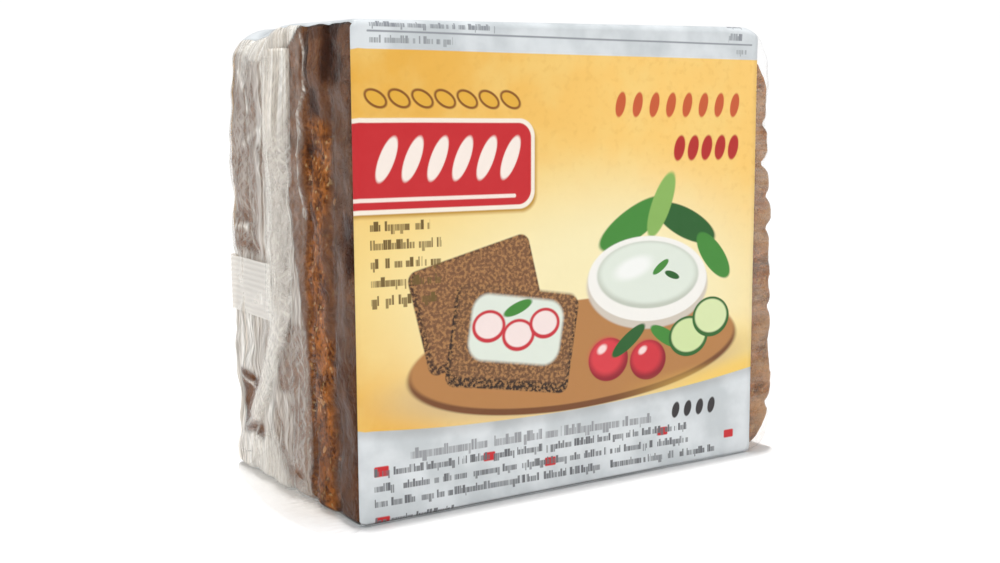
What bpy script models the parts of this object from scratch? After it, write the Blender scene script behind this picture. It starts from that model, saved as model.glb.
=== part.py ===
"""Sliced rye bread in a clear film pack that stands on its long narrow side.

Six square slices stand face to face and the film is drawn tight round them, so the pack is one
closed solid. Its two ends show the craggy edges of the slices. Each end is shut by a crimped fin
that is folded flat, a long seam runs across the back and on to both ends, and at the left end
the lower fold of the film spreads on the table as a thin ear.

All lengths are in metres. The working corner is the front left bottom corner: X runs along the
front to the right, Y to the back and Z up. The finished pack is then moved so that the middle of
its box stands over the origin.
"""
import math

import bmesh
import bpy
from mathutils import Matrix, Vector, noise

# The slices and the pack
SLICE_COUNT = 6
SLICE_THICKNESS = 0.00915
PACK_WIDTH = 0.0980
PACK_DEPTH = SLICE_COUNT * SLICE_THICKNESS
PACK_HEIGHT = 0.0900
RIM_ROUND = 0.0014
LEFT_CORNER_ROUND = 0.0018
LEFT_BACK_TOP_ROUND = 0.0095
ROUND_GROWS_FROM = 0.024
ROUND_GROWS_OVER = 0.023
RIGHT_TOP_ROUND = 0.0080
RIGHT_BOTTOM_ROUND = 0.0060

# The grid that the wrapped block is cut into
STEPS_PER_SLICE = 4
HEIGHT_STEP = 0.0026
WIDTH_STEP = 0.0140
WELD_DISTANCE = 0.000001
SHORTEST_EDGE = 0.00004
SHARP_ANGLE = math.radians(35.0)
BREAD_COLOUR = (0.26, 0.13, 0.06)
FILM_ROUGHNESS = 0.35

# The craggy slice edges at the ends, under the film
GROOVE_DEPTH = 0.0007
LUMP_HEIGHT = 0.0009
LUMP_SIZE = 0.0095
CRAG_HEIGHT = 0.0005
CRAG_SIZE = 0.0042
LEFT_SMOOTH_RIM = 0.0035
GROOVE_SHARPNESS = 4
LEFT_NOISE_LAYER = 0.0
RIGHT_NOISE_LAYER = 7.0
CRAG_NOISE_LAYER = 3.0
SAG_NOISE_LAYER = 11.0
OVERLAP_FROM = 0.0220
OVERLAP_STEP = 0.0004
RIGHT_SPREAD = 0.0030
RIGHT_SPREAD_TOP = 0.0800
GAP_BREADTH = 0.0012
GAP_FADE = 0.0030
RIGHT_GAPS = (
    # height and depth of each gap in the front slice's right edge
    (0.0700, 0.0013),
    (0.0619, 0.0019),
    (0.0548, 0.0011),
    (0.0481, 0.0011),
    (0.0312, 0.0010),
    (0.0104, 0.0011),
)
PANEL_SAG = 0.0003
PANEL_SAG_SIZE = 0.0230

# The crimped fin that shuts each end
FIN_WIDTH = 0.0120
FIN_FOOT_WIDTH = 0.0070
FIN_PROUD = 0.0013
FIN_ROOT = 0.0030
FIN_TOP = 0.0855
FIN_FOOT = 0.0040
FIN_MIDDLE = 0.0305
FIN_BEND_HEIGHT = 0.0420
FIN_FOOT_SWING = 0.0230
FIN_BEND_POWER = 1.6
FIN_RIPPLE = 0.0004
FIN_RIPPLE_LENGTH = 0.0310
FIN_STEPS = 26
FIN_BREADTH_STEPS = 4

# The long seam across the back and round on to the ends
SEAM_BOTTOM = 0.0330
SEAM_WIDTH = 0.0112
SEAM_PROUD = 0.0006
SEAM_END_REACH = 0.0205
SEAM_ROUND = 0.0016
SEAM_ROUND_STEPS = 3

# The film ear on the table at the left end: its tent is where the end's lower gusset bulges
EAR_REACH = 0.0084
EAR_FRONT = -0.0042
EAR_BACK = 0.0530
EAR_WIDEST = 0.0150
EAR_ROOT = 0.0025
EAR_TIP_SHIFT = 0.0052
EAR_FRONT_TIP = 0.0034
EAR_BACK_TIP = 0.0004
EAR_POWER = 2.2
EAR_BACK_POWER = 1.4
EAR_LIFT = 0.0003
EAR_RIM = 0.0007
EAR_TENT_HEIGHT = 0.0135
EAR_TENT_MIDDLE = 0.0350
EAR_TENT_HALF = 0.0175
EAR_TENT_SLOPE = 1.4
EAR_STEPS = 24
EAR_BREADTH_STEPS = 5


def smooth_step(value):
    """0 below 0, 1 above 1, and a smooth rise between."""
    t = min(max(value, 0.0), 1.0)
    return t * t * (3.0 - 2.0 * t)


def material(name, colour, roughness):
    """A plain Principled material."""
    made = bpy.data.materials.new(name)
    made.use_nodes = True
    made.diffuse_color = (*colour, 1.0)
    shader = made.node_tree.nodes["Principled BSDF"]
    shader.inputs["Base Color"].default_value = (*colour, 1.0)
    shader.inputs["Roughness"].default_value = roughness
    shader.inputs["Metallic"].default_value = 0.0
    return made


def even_cuts(length, rim, step):
    """Cut positions along one side: one at each rim, and even ones between them."""
    count = max(1, round((length - 2.0 * rim) / step))
    gap = (length - 2.0 * rim) / count
    return [rim + gap * index for index in range(count + 1)]


def grid_box(name, low, high, cuts):
    """A cube primitive stretched from low to high and cut along X, Y and Z."""
    size = Vector(high) - Vector(low)
    bpy.ops.mesh.primitive_cube_add(size=1.0, location=Vector(low) + size / 2.0)
    made = bpy.context.object
    made.name = name
    made.scale = size
    bpy.ops.object.transform_apply(location=True, rotation=False, scale=True)
    mesh = bmesh.new()
    mesh.from_mesh(made.data)
    for axis, places in enumerate(cuts):
        normal = Vector((0.0, 0.0, 0.0))
        normal[axis] = 1.0
        for place in places:
            everything = mesh.verts[:] + mesh.edges[:] + mesh.faces[:]
            bmesh.ops.bisect_plane(
                mesh, geom=everything, dist=WELD_DISTANCE, plane_co=normal * place, plane_no=normal
            )
    mesh.to_mesh(made.data)
    mesh.free()
    return made


def reshape(piece, move_point):
    """Moves every point of a piece by a rule, then cuts its faces into triangles."""
    mesh = bmesh.new()
    mesh.from_mesh(piece.data)
    for point in mesh.verts:
        point.co = move_point(point.co)
    bmesh.ops.triangulate(mesh, faces=mesh.faces[:])
    bmesh.ops.recalc_face_normals(mesh, faces=mesh.faces[:])
    mesh.to_mesh(piece.data)
    mesh.free()


def corner_round(at_left, at_top, y):
    """The slices' corner radius, which grows to the back at the upper left."""
    if at_left and at_top:
        grown = smooth_step((y - ROUND_GROWS_FROM) / ROUND_GROWS_OVER)
        return LEFT_CORNER_ROUND + (LEFT_BACK_TOP_ROUND - LEFT_CORNER_ROUND) * grown
    if at_left:
        return LEFT_CORNER_ROUND
    return RIGHT_TOP_ROUND if at_top else RIGHT_BOTTOM_ROUND


def right_spread(z):
    """How far the slices reach out further to the right at a height, most at the table."""
    return RIGHT_SPREAD * (1.0 - min(z / RIGHT_SPREAD_TOP, 1.0) ** 2)


def right_gaps(y, z):
    """How deep the gaps in the front slice's right edge are at a place."""
    depth = sum(deep * math.exp(-((z - middle) / GAP_BREADTH) ** 2) for middle, deep in RIGHT_GAPS)
    return depth * smooth_step((SLICE_THICKNESS - y) / GAP_FADE)


def end_relief(y, z, at_left):
    """How far the film stands out over the slice edges at one end."""
    layer = LEFT_NOISE_LAYER if at_left else RIGHT_NOISE_LAYER
    groove = (0.5 + 0.5 * math.cos(2.0 * math.pi * y / SLICE_THICKNESS)) ** GROOVE_SHARPNESS
    lumps = noise.noise(Vector((layer, y / LUMP_SIZE, z / LUMP_SIZE)))
    crags = noise.noise(Vector((layer + CRAG_NOISE_LAYER, y / CRAG_SIZE, z / CRAG_SIZE)))
    height = LUMP_HEIGHT * lumps + CRAG_HEIGHT * crags - GROOVE_DEPTH * groove
    if at_left:
        height *= smooth_step(y / LEFT_SMOOTH_RIM)
        return height + OVERLAP_STEP * smooth_step((y - OVERLAP_FROM) / CRAG_SIZE)
    return height + right_spread(z) - right_gaps(y, z)


def panel_sag(first, second):
    """How far the wide film panels sink between the points that hold them up."""
    place = Vector((first / PANEL_SAG_SIZE, second / PANEL_SAG_SIZE, SAG_NOISE_LAYER))
    return PANEL_SAG * (0.5 + 0.5 * noise.noise(place))


def wrapped_point(point):
    """Takes a point of the sharp block to the rounded, craggy pack."""
    x, y, z = point
    at_left = x < PACK_WIDTH / 2.0
    at_top = z > PACK_HEIGHT / 2.0
    inward_x = x if at_left else PACK_WIDTH - x
    inward_z = PACK_HEIGHT - z if at_top else z
    inward_y = min(y, PACK_DEPTH - y)
    on_outline = min(inward_x, inward_z) < WELD_DISTANCE

    # The slice outline: square rings round each corner become arcs.
    radius = corner_round(at_left, at_top, y)
    outward = Vector((1.0, 0.0)) if inward_x < inward_z else Vector((0.0, 1.0))
    span = Vector((max(radius - inward_x, 0.0), max(radius - inward_z, 0.0)))
    if span.x > 0.0 and span.y > 0.0:
        outward = span.normalized()
        ring = outward * max(span)
        inward_x = radius - ring.x
        inward_z = radius - ring.y

    # The rims of the front and back faces: points on the outline sink along a quarter circle.
    if on_outline and inward_y < RIM_ROUND:
        away = Vector((RIM_ROUND, RIM_ROUND - inward_y)).normalized() * RIM_ROUND
        inward_x += (RIM_ROUND - away.x) * outward.x
        inward_z += (RIM_ROUND - away.x) * outward.y
        inward_y = RIM_ROUND - away.y

    if on_outline:
        inward_x -= end_relief(y, z, at_left) * outward.x ** 2
        if at_top:
            inward_z += panel_sag(x, y) * outward.y ** 2
    else:
        inward_y += panel_sag(x, z + y)
    return Vector((
        inward_x if at_left else PACK_WIDTH - inward_x,
        inward_y if y < PACK_DEPTH / 2.0 else PACK_DEPTH - inward_y,
        PACK_HEIGHT - inward_z if at_top else inward_z,
    ))


def wrapped_slices():
    """The six slices with the film drawn tight round them."""
    width_cuts = even_cuts(PACK_WIDTH, RIM_ROUND, WIDTH_STEP)
    width_cuts += [
        LEFT_BACK_TOP_ROUND / 2.0,
        LEFT_BACK_TOP_ROUND,
        PACK_WIDTH - RIGHT_BOTTOM_ROUND,
        PACK_WIDTH - RIGHT_BOTTOM_ROUND / 2.0,
    ]
    slice_step = SLICE_THICKNESS / STEPS_PER_SLICE
    depth_cuts = [slice_step * index for index in range(1, SLICE_COUNT * STEPS_PER_SLICE)]
    depth_cuts += [RIM_ROUND, PACK_DEPTH - RIM_ROUND]
    height_cuts = even_cuts(PACK_HEIGHT, RIM_ROUND, HEIGHT_STEP)
    height_cuts += [middle for middle, deep in RIGHT_GAPS]
    block = grid_box(
        "wrapped_slices",
        (0.0, 0.0, 0.0),
        (PACK_WIDTH, PACK_DEPTH, PACK_HEIGHT),
        (width_cuts, depth_cuts, height_cuts),
    )
    reshape(block, wrapped_point)
    return block


def fin_point(point, at_left):
    """Takes a point of a straight strip to the folded fin on one end."""
    breadth, height = point.y, point.z
    below_bend = max(FIN_BEND_HEIGHT - height, 0.0) / FIN_BEND_HEIGHT
    middle = FIN_MIDDLE + FIN_FOOT_SWING * below_bend ** FIN_BEND_POWER
    width_share = 1.0 + (FIN_FOOT_WIDTH / FIN_WIDTH - 1.0) * smooth_step(below_bend)
    outward = point.x
    if outward > 0.0:
        outward += FIN_RIPPLE * math.sin(2.0 * math.pi * height / FIN_RIPPLE_LENGTH)
    x = -outward if at_left else PACK_WIDTH + right_spread(height) + outward
    return Vector((x, middle + breadth * width_share, height))


def end_fin(at_left):
    """The crimped fin of one end, folded flat to the back."""
    length_step = (FIN_TOP - FIN_FOOT) / FIN_STEPS
    breadth_step = FIN_WIDTH / FIN_BREADTH_STEPS
    breadth_cuts = [breadth_step * index - FIN_WIDTH / 2.0 for index in range(1, FIN_BREADTH_STEPS)]
    length_cuts = [FIN_FOOT + length_step * index for index in range(1, FIN_STEPS)]
    fin = grid_box(
        "end_fin_left" if at_left else "end_fin_right",
        (-FIN_ROOT, -FIN_WIDTH / 2.0, FIN_FOOT),
        (FIN_PROUD, FIN_WIDTH / 2.0, FIN_TOP),
        ((), breadth_cuts, length_cuts),
    )
    reshape(fin, lambda point: fin_point(point, at_left))
    return fin


def back_seam():
    """The long seam: a flat band across the back, bent round on to both ends."""
    reach = SEAM_END_REACH + SEAM_PROUD
    right = PACK_WIDTH + right_spread(SEAM_BOTTOM) + SEAM_PROUD
    seam = grid_box(
        "back_seam",
        (-SEAM_PROUD, PACK_DEPTH + SEAM_PROUD - reach, SEAM_BOTTOM),
        (right, PACK_DEPTH + SEAM_PROUD, SEAM_BOTTOM + SEAM_WIDTH),
        ((), (), ()),
    )
    corners = seam.modifiers.new("rounded_corners", "BEVEL")
    corners.width = SEAM_ROUND
    corners.segments = SEAM_ROUND_STEPS
    corners.limit_method = "VGROUP"
    group = seam.vertex_groups.new(name="back_corners")
    group.add([v.index for v in seam.data.vertices if v.co.y > PACK_DEPTH], 1.0, "REPLACE")
    corners.vertex_group = group.name
    return seam


def ear_point(point):
    """Takes a point of a flat strip to the film ear: x is the share outward, y runs along it."""
    share, y = point.x, point.y
    span = EAR_BACK - EAR_WIDEST if y > EAR_WIDEST else EAR_WIDEST - EAR_FRONT
    off_middle = min(abs(y - EAR_WIDEST) / span, 1.0)
    tip = EAR_BACK_TIP if y > EAR_WIDEST else EAR_FRONT_TIP
    power = EAR_BACK_POWER if y > EAR_WIDEST else EAR_POWER
    reach = tip + (EAR_REACH - tip) * (1.0 - off_middle ** power) ** (1.0 / power)
    off_tent = min(abs(y - EAR_TENT_MIDDLE) / EAR_TENT_HALF, 1.0)
    tent = EAR_TENT_HEIGHT * (0.5 + 0.5 * math.cos(math.pi * off_tent))
    top = EAR_LIFT + EAR_RIM + tent * (1.0 - share) ** EAR_TENT_SLOPE
    z = EAR_LIFT if point.z < EAR_RIM / 2.0 else top
    before_front = smooth_step(y / EAR_FRONT)
    root = EAR_ROOT - EAR_TIP_SHIFT * before_front
    return Vector((root - (root + reach) * share, y, z))


def floor_ear():
    """The lower fold of the film, spread on the table beside the left end."""
    length_step = (EAR_BACK - EAR_FRONT) / EAR_STEPS
    breadth_cuts = [index / EAR_BREADTH_STEPS for index in range(1, EAR_BREADTH_STEPS)]
    length_cuts = [EAR_FRONT + length_step * index for index in range(1, EAR_STEPS)]
    ear = grid_box(
        "floor_ear",
        (0.0, EAR_FRONT, 0.0),
        (1.0, EAR_BACK, EAR_RIM),
        (breadth_cuts, length_cuts, ()),
    )
    reshape(ear, ear_point)
    return ear


def join_by_union(base, pieces):
    """Unites the pieces with the base by one Boolean on their collection, then removes them."""
    film_folds = bpy.data.collections.new("film_folds")
    for piece in pieces:
        film_folds.objects.link(piece)
    union = base.modifiers.new("film_folds", "BOOLEAN")
    union.operation = "UNION"
    union.operand_type = "COLLECTION"
    union.collection = film_folds
    union.solver = "EXACT"
    bpy.context.view_layer.objects.active = base
    bpy.ops.object.modifier_apply(modifier=union.name)
    for piece in pieces:
        bpy.data.objects.remove(piece)
    bpy.data.collections.remove(film_folds)


def close_slivers(piece):
    """Closes the edges, shorter than any detail, that the union leaves where folds meet."""
    mesh = bmesh.new()
    mesh.from_mesh(piece.data)
    bmesh.ops.dissolve_degenerate(mesh, dist=SHORTEST_EDGE, edges=mesh.edges[:])
    bmesh.ops.triangulate(mesh, faces=mesh.faces[:])
    mesh.to_mesh(piece.data)
    mesh.free()


def centre_over_origin(piece):
    """Moves the mesh so that the middle of its box is over the origin and its base at zero."""
    places = [vertex.co for vertex in piece.data.vertices]
    middle_x = (min(p.x for p in places) + max(p.x for p in places)) / 2.0
    middle_y = (min(p.y for p in places) + max(p.y for p in places)) / 2.0
    lowest = min(p.z for p in places)
    piece.data.transform(Matrix.Translation((-middle_x, -middle_y, -lowest)))


def build():
    """The whole pack in a collection of its own."""
    for old in list(bpy.data.objects):
        bpy.data.objects.remove(old)
    pack = wrapped_slices()
    folds = [end_fin(at_left=True), end_fin(at_left=False), back_seam(), floor_ear()]
    join_by_union(pack, folds)
    close_slivers(pack)
    pack.name = "bread_pack"
    pack.data.name = "bread_pack"
    centre_over_origin(pack)
    pack.data.materials.clear()
    pack.data.materials.append(material("wrapped_rye_bread", BREAD_COLOUR, FILM_ROUGHNESS))
    pack.data.shade_smooth()
    pack.data.set_sharp_from_angle(angle=SHARP_ANGLE)
    shelf = bpy.data.collections.new("rye_bread_pack")
    bpy.context.scene.collection.children.link(shelf)
    for holder in list(pack.users_collection):
        holder.objects.unlink(pack)
    shelf.objects.link(pack)


build()
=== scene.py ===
# %% [markdown]
# # A pack of sliced rye bread
#
# Six square slices of dark wholegrain rye bread stand face to face in a tight film pack. A printed
# band covers the front, top, back and bottom, and both ends are clear film, gathered into a crimped
# fin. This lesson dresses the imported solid: it builds the slices and grains that show through the
# ends, the printed band, the clear ends and their folds, and then a plain studio round them.

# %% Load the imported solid
import functools
import math
import random

import bmesh
import bpy
import numpy as np
from mathutils import Matrix, Vector, noise


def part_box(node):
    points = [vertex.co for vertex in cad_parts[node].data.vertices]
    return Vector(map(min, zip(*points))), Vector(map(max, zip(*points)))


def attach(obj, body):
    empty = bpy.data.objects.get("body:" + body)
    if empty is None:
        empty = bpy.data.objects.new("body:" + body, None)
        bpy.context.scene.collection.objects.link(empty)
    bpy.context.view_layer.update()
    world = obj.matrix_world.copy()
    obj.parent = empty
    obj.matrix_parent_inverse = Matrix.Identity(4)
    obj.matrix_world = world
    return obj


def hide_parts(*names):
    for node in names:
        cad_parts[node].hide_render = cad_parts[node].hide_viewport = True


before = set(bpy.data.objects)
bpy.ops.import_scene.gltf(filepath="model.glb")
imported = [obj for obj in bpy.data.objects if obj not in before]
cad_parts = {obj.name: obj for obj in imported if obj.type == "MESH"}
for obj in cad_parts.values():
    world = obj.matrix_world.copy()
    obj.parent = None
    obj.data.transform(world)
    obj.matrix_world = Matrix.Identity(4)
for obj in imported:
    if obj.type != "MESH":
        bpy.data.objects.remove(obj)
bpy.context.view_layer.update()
pack_low, pack_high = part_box("bread_pack")
print("packed solid from", [round(v, 4) for v in pack_low], "to", [round(v, 4) for v in pack_high])

# %% [markdown]
# ## Sizes
#
# The solid is one piece, so the same driving sizes are named here again, in metres. The working
# corner is the pack's front left bottom corner: X runs along the front, Y to the back and Z up.
# Only the thin film ear on the table reaches out to the left and front of that corner, so the
# corner's place follows from the solid's box.

# %% The driving sizes
MM = 0.001
SLICE_COUNT = 6
SLICE_THICKNESS = 9.15 * MM
PACK_WIDTH = 98.0 * MM
PACK_DEPTH = SLICE_COUNT * SLICE_THICKNESS
PACK_HEIGHT = 90.0 * MM
RIM_ROUND = 1.4 * MM
BAND_WIDTH = 94.0 * MM
EAR_REACH = 8.4 * MM
EAR_FRONT = -4.2 * MM

near_corner = Vector((pack_low[0] + EAR_REACH, pack_low[1] - EAR_FRONT, pack_low[2]))
print("near bottom corner at", [round(v, 4) for v in near_corner])

# %% [markdown]
# ## The camera
#
# The photograph looks at the pack's front left edge from close by, a little above the middle and
# slightly down. A perspective fit to the pack's edges gave the camera's place from the near bottom
# corner, its heading and tilt, and a lens of about 50 mm on a 36 mm sensor.

# %% Camera
CAMERA_FROM_CORNER = Vector((-109.2, -215.3, 79.6)) * MM
CAMERA_HEADING = math.radians(57.04)
CAMERA_DIP = math.radians(8.25)
CAMERA_ROLL = math.radians(-0.26)
LENS_MM, SENSOR_MM = 50.2, 36.0

camera_data = bpy.data.cameras.new("camera")
camera_data.lens = LENS_MM
camera_data.sensor_width = SENSOR_MM
camera_data.clip_start = 0.01
camera = bpy.data.objects.new("camera", camera_data)
bpy.context.scene.collection.objects.link(camera)
turn = Matrix.Rotation(CAMERA_HEADING - math.pi / 2.0, 4, "Z")
tilt = Matrix.Rotation(math.pi / 2.0 - CAMERA_DIP, 4, "X")
roll = Matrix.Rotation(CAMERA_ROLL, 4, "Z")
camera.matrix_world = Matrix.Translation(near_corner + CAMERA_FROM_CORNER) @ turn @ tilt @ roll
bpy.context.scene.camera = camera
print("camera at", [round(v, 3) for v in camera.matrix_world.translation])

# %% [markdown]
# ## Small helpers for nodes
#
# Materials are built from nodes in code. One helper adds a node and fills its inputs, with a value
# or a link, and short ones wrap the kinds of node used most: Math, Map Range, Mix and Noise. One
# more starts a node group with named sockets, and another ends a material with a bump.

# %% Node helpers
def put(tree, kind, inputs=None, **settings):
    """Adds a node, sets its options, and fills its inputs with values or links."""
    made = tree.nodes.new(kind)
    for key, value in settings.items():
        setattr(made, key, value)
    for place, value in (inputs or {}).items():
        if isinstance(value, bpy.types.NodeSocket):
            tree.links.new(value, made.inputs[place])
        else:
            made.inputs[place].default_value = value
    return made


def sums(tree, operation, first, second=0.0, third=0.0, clamp=False):
    """A Math node's result."""
    made = put(tree, "ShaderNodeMath", {0: first, 1: second, 2: third}, operation=operation)
    made.use_clamp = clamp
    return made.outputs[0]


def times(tree, first, second):
    """The product of two values."""
    return sums(tree, "MULTIPLY", first, second)


def ramp(tree, value, low, high, out_low=0.0, out_high=1.0):
    """A smooth, clamped step between two values."""
    inputs = {0: value, 1: low, 2: high, 3: out_low, 4: out_high}
    return put(tree, "ShaderNodeMapRange", inputs, interpolation_type="SMOOTHSTEP").outputs[0]


def blend(tree, share, first, second):
    """A colour between two colours."""
    made = put(tree, "ShaderNodeMix", {0: share, 6: first, 7: second}, data_type="RGBA")
    return made.outputs[2]


def paint(red, green, blue):
    """A colour given as screen values from 0 to 255, as the linear values that shaders use."""
    shares = [value / 255.0 for value in (red, green, blue)]
    return (*[s / 12.92 if s < 0.04045 else ((s + 0.055) / 1.055) ** 2.4 for s in shares], 1.0)


def pattern(tree, place, scale, detail):
    """A Noise Texture's value at a place."""
    inputs = {"Vector": place, "Scale": scale, "Detail": detail}
    return put(tree, "ShaderNodeTexNoise", inputs).outputs["Fac"]


def carried(tree, name):
    """A number that the mesh carries per point."""
    return put(tree, "ShaderNodeAttribute", attribute_name=name).outputs["Fac"]


def own_place(tree):
    """The place on the object, in metres."""
    return put(tree, "ShaderNodeTexCoord").outputs["Object"]


def new_group(name, inputs, outputs):
    """An empty node group with named sockets, what enters it, and where its results leave."""
    group = bpy.data.node_groups.new(name, "ShaderNodeTree")
    for in_out, sockets in (("INPUT", inputs), ("OUTPUT", outputs)):
        for label, kind in sockets.items():
            group.interface.new_socket(name=label, in_out=in_out, socket_type="NodeSocket" + kind)
    enter = group.nodes.new("NodeGroupInput").outputs
    leave = group.nodes.new("NodeGroupOutput").inputs
    return group, enter, leave


def empty_material(name):
    """A material with only its output node."""
    made = bpy.data.materials.new(name)
    made.use_nodes = True
    made.node_tree.nodes.clear()
    output = made.node_tree.nodes.new("ShaderNodeOutputMaterial")
    return made, made.node_tree, output.inputs["Surface"]


def bumped_shader(tree, look, height, strength, distance):
    """A Principled shader whose normals follow a height."""
    inputs = {"Height": height, "Strength": strength, "Distance": distance}
    bump = put(tree, "ShaderNodeBump", inputs).outputs["Normal"]
    return put(tree, "ShaderNodeBsdfPrincipled", {**look, "Normal": bump}).outputs[0]


print("node helpers ready")

# %% [markdown]
# ## Small helpers for meshes
#
# A fine surface starts as a grid or a cut cube from a bmesh operator, and a rule then moves its
# points: first to a sharp-cornered block of the pack's size, then to the rounded, craggy form.
# Every finished mesh is moved to its true place, so its object stays at the origin.

# %% Mesh helpers
def smooth_step(value):
    """0 below 0, 1 above 1, and a smooth rise between."""
    t = min(max(value, 0.0), 1.0)
    return t * t * (3.0 - 2.0 * t)


def window(value, low, high, soft):
    """1 between low and high, with soft edges."""
    return smooth_step((value - low) / soft + 0.5) * smooth_step((high - value) / soft + 0.5)


def wash(y, z, zones, soft):
    """The value that a list of soft rectangles, laid over one another, gives a place in mm."""
    value = 0.0
    for low_y, high_y, low_z, high_z, laid in zones:
        value += (laid - value) * window(y, low_y, high_y, soft) * window(z, low_z, high_z, soft)
    return value


def cut_cube(xs, ys, zs):
    """A cube cut into a grid whose lines lie at the given places."""
    mesh = bmesh.new()
    bmesh.ops.create_cube(mesh, size=1.0)
    for axis, places in enumerate((xs, ys, zs)):
        if len(places) < 3:
            continue
        along = [e for e in mesh.edges if abs((e.verts[1].co - e.verts[0].co)[axis]) > 0.5]
        bmesh.ops.subdivide_edges(mesh, edges=along, cuts=len(places) - 2, use_grid_fill=True)
    for vert in mesh.verts:
        for axis, places in enumerate((xs, ys, zs)):
            vert.co[axis] = places[round((vert.co[axis] + 0.5) * (len(places) - 1))]
    return mesh


def place_piece(name, mesh, material, thickness=0.0):
    """Finishes a mesh: moves it to its place, turns its faces out, and makes its object."""
    bmesh.ops.translate(mesh, verts=mesh.verts[:], vec=near_corner)
    bmesh.ops.recalc_face_normals(mesh, faces=mesh.faces[:])
    data = bpy.data.meshes.new(name)
    mesh.to_mesh(data)
    mesh.free()
    data.shade_smooth()
    data.materials.append(material)
    piece = bpy.data.objects.new(name, data)
    bpy.context.scene.collection.objects.link(piece)
    if thickness:
        wall = piece.modifiers.new("film_thickness", "SOLIDIFY")
        wall.thickness = thickness
        wall.offset = -1.0
    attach(piece, "root")
    print(name, len(data.polygons), "faces")
    return piece


def even(low, high, count):
    """Evenly spaced places from low to high, both included."""
    return [low + (high - low) * index / (count - 1) for index in range(count)]


print("mesh helpers ready")

# %% [markdown]
# ## The form that bread and film share
#
# The slices have rounded corners, larger at the right and at the upper back of the left end, and
# their cut edges are craggy. The film lies on those crags, so both use the same rule. Near a sharp
# corner of the block, square rings of points are turned into arcs: the same trick rounds the
# corners of a slice and the rims of its face.

# %% Sizes of the form
LEFT_CORNER_ROUND = 1.8 * MM
LEFT_BACK_TOP_ROUND = 9.5 * MM
ROUND_GROWS_FROM = 24.0 * MM
ROUND_GROWS_OVER = 23.0 * MM
RIGHT_TOP_ROUND = 8.0 * MM
RIGHT_BOTTOM_ROUND = 6.0 * MM
GROOVE_DEPTH = 0.7 * MM
GROOVE_SHARPNESS = 4
LUMP_HEIGHT = 0.9 * MM
LUMP_SIZE = 9.5 * MM
CRAG_HEIGHT = 0.5 * MM
CRAG_SIZE = 4.2 * MM
LEFT_SMOOTH_RIM = 3.5 * MM
OVERLAP_FROM = 22.0 * MM
OVERLAP_STEP = 0.4 * MM
RIGHT_SPREAD = 3.0 * MM
RIGHT_SPREAD_TOP = 80.0 * MM
GAP_BREADTH = 1.2
GAP_FADE = 3.0 * MM
RIGHT_GAPS = (
    # height and depth in mm of each gap in the front slice's right edge
    (70.0, 1.3),
    (61.9, 1.9),
    (54.8, 1.1),
    (48.1, 1.1),
    (31.2, 1.0),
    (10.4, 1.1),
)
RIGHT_NOISE_LAYER = 7.0
CRAG_NOISE_LAYER = 3.0
PANEL_SAG = 0.3 * MM
PANEL_SAG_SIZE = 23.0 * MM
SAG_NOISE_LAYER = 11.0
print(len(RIGHT_GAPS), "gaps in the front slice's right edge")


# %% Rules for corners, spread and relief
def corner_round(at_left, at_top, y):
    """The slices' corner radius, which grows to the back at the upper left."""
    if at_left and at_top:
        grown = smooth_step((y - ROUND_GROWS_FROM) / ROUND_GROWS_OVER)
        return LEFT_CORNER_ROUND + (LEFT_BACK_TOP_ROUND - LEFT_CORNER_ROUND) * grown
    if at_left:
        return LEFT_CORNER_ROUND
    return RIGHT_TOP_ROUND if at_top else RIGHT_BOTTOM_ROUND


def right_spread(z):
    """How far the slices reach out further to the right at a height, most at the table."""
    return RIGHT_SPREAD * (1.0 - min(z / RIGHT_SPREAD_TOP, 1.0) ** 2)


def right_gaps(y, z):
    """How deep the gaps in the front slice's right edge are at a place."""
    depth = sum(
        deep * math.exp(-((z / MM - middle) / GAP_BREADTH) ** 2) for middle, deep in RIGHT_GAPS
    )
    return depth * MM * smooth_step((SLICE_THICKNESS - y) / GAP_FADE)


def end_relief(y, z, at_left):
    """How far the film stands out over the slice edges at one end."""
    layer = 0.0 if at_left else RIGHT_NOISE_LAYER
    groove = (0.5 + 0.5 * math.cos(2.0 * math.pi * y / SLICE_THICKNESS)) ** GROOVE_SHARPNESS
    lumps = noise.noise(Vector((layer, y / LUMP_SIZE, z / LUMP_SIZE)))
    crags = noise.noise(Vector((layer + CRAG_NOISE_LAYER, y / CRAG_SIZE, z / CRAG_SIZE)))
    height = LUMP_HEIGHT * lumps + CRAG_HEIGHT * crags - GROOVE_DEPTH * groove
    if at_left:
        height *= smooth_step(y / LEFT_SMOOTH_RIM)
        return height + OVERLAP_STEP * smooth_step((y - OVERLAP_FROM) / CRAG_SIZE)
    return height + right_spread(z) - right_gaps(y, z)


def panel_sag(first, second):
    """How far the wide film panels sink between the points that hold them up."""
    place = Vector((first / PANEL_SAG_SIZE, second / PANEL_SAG_SIZE, SAG_NOISE_LAYER))
    return PANEL_SAG * (0.5 + 0.5 * noise.noise(place))


reliefs = [end_relief(SLICE_THICKNESS * step / 4.0, PACK_HEIGHT / 2.0, True) for step in range(5)]
print("relief over the first slice in mm:", [round(relief / MM, 2) for relief in reliefs])


# %% From the sharp block to the rounded form
def ring_to_arc(first, second, radius):
    """Two inward distances near a sharp corner, moved on to the arc through their square ring."""
    span = Vector((max(radius - first, 0.0), max(radius - second, 0.0)))
    if span.x == 0.0 or span.y == 0.0:
        return first, second, None
    outward = span.normalized()
    return radius - outward.x * max(span), radius - outward.y * max(span), outward


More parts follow.
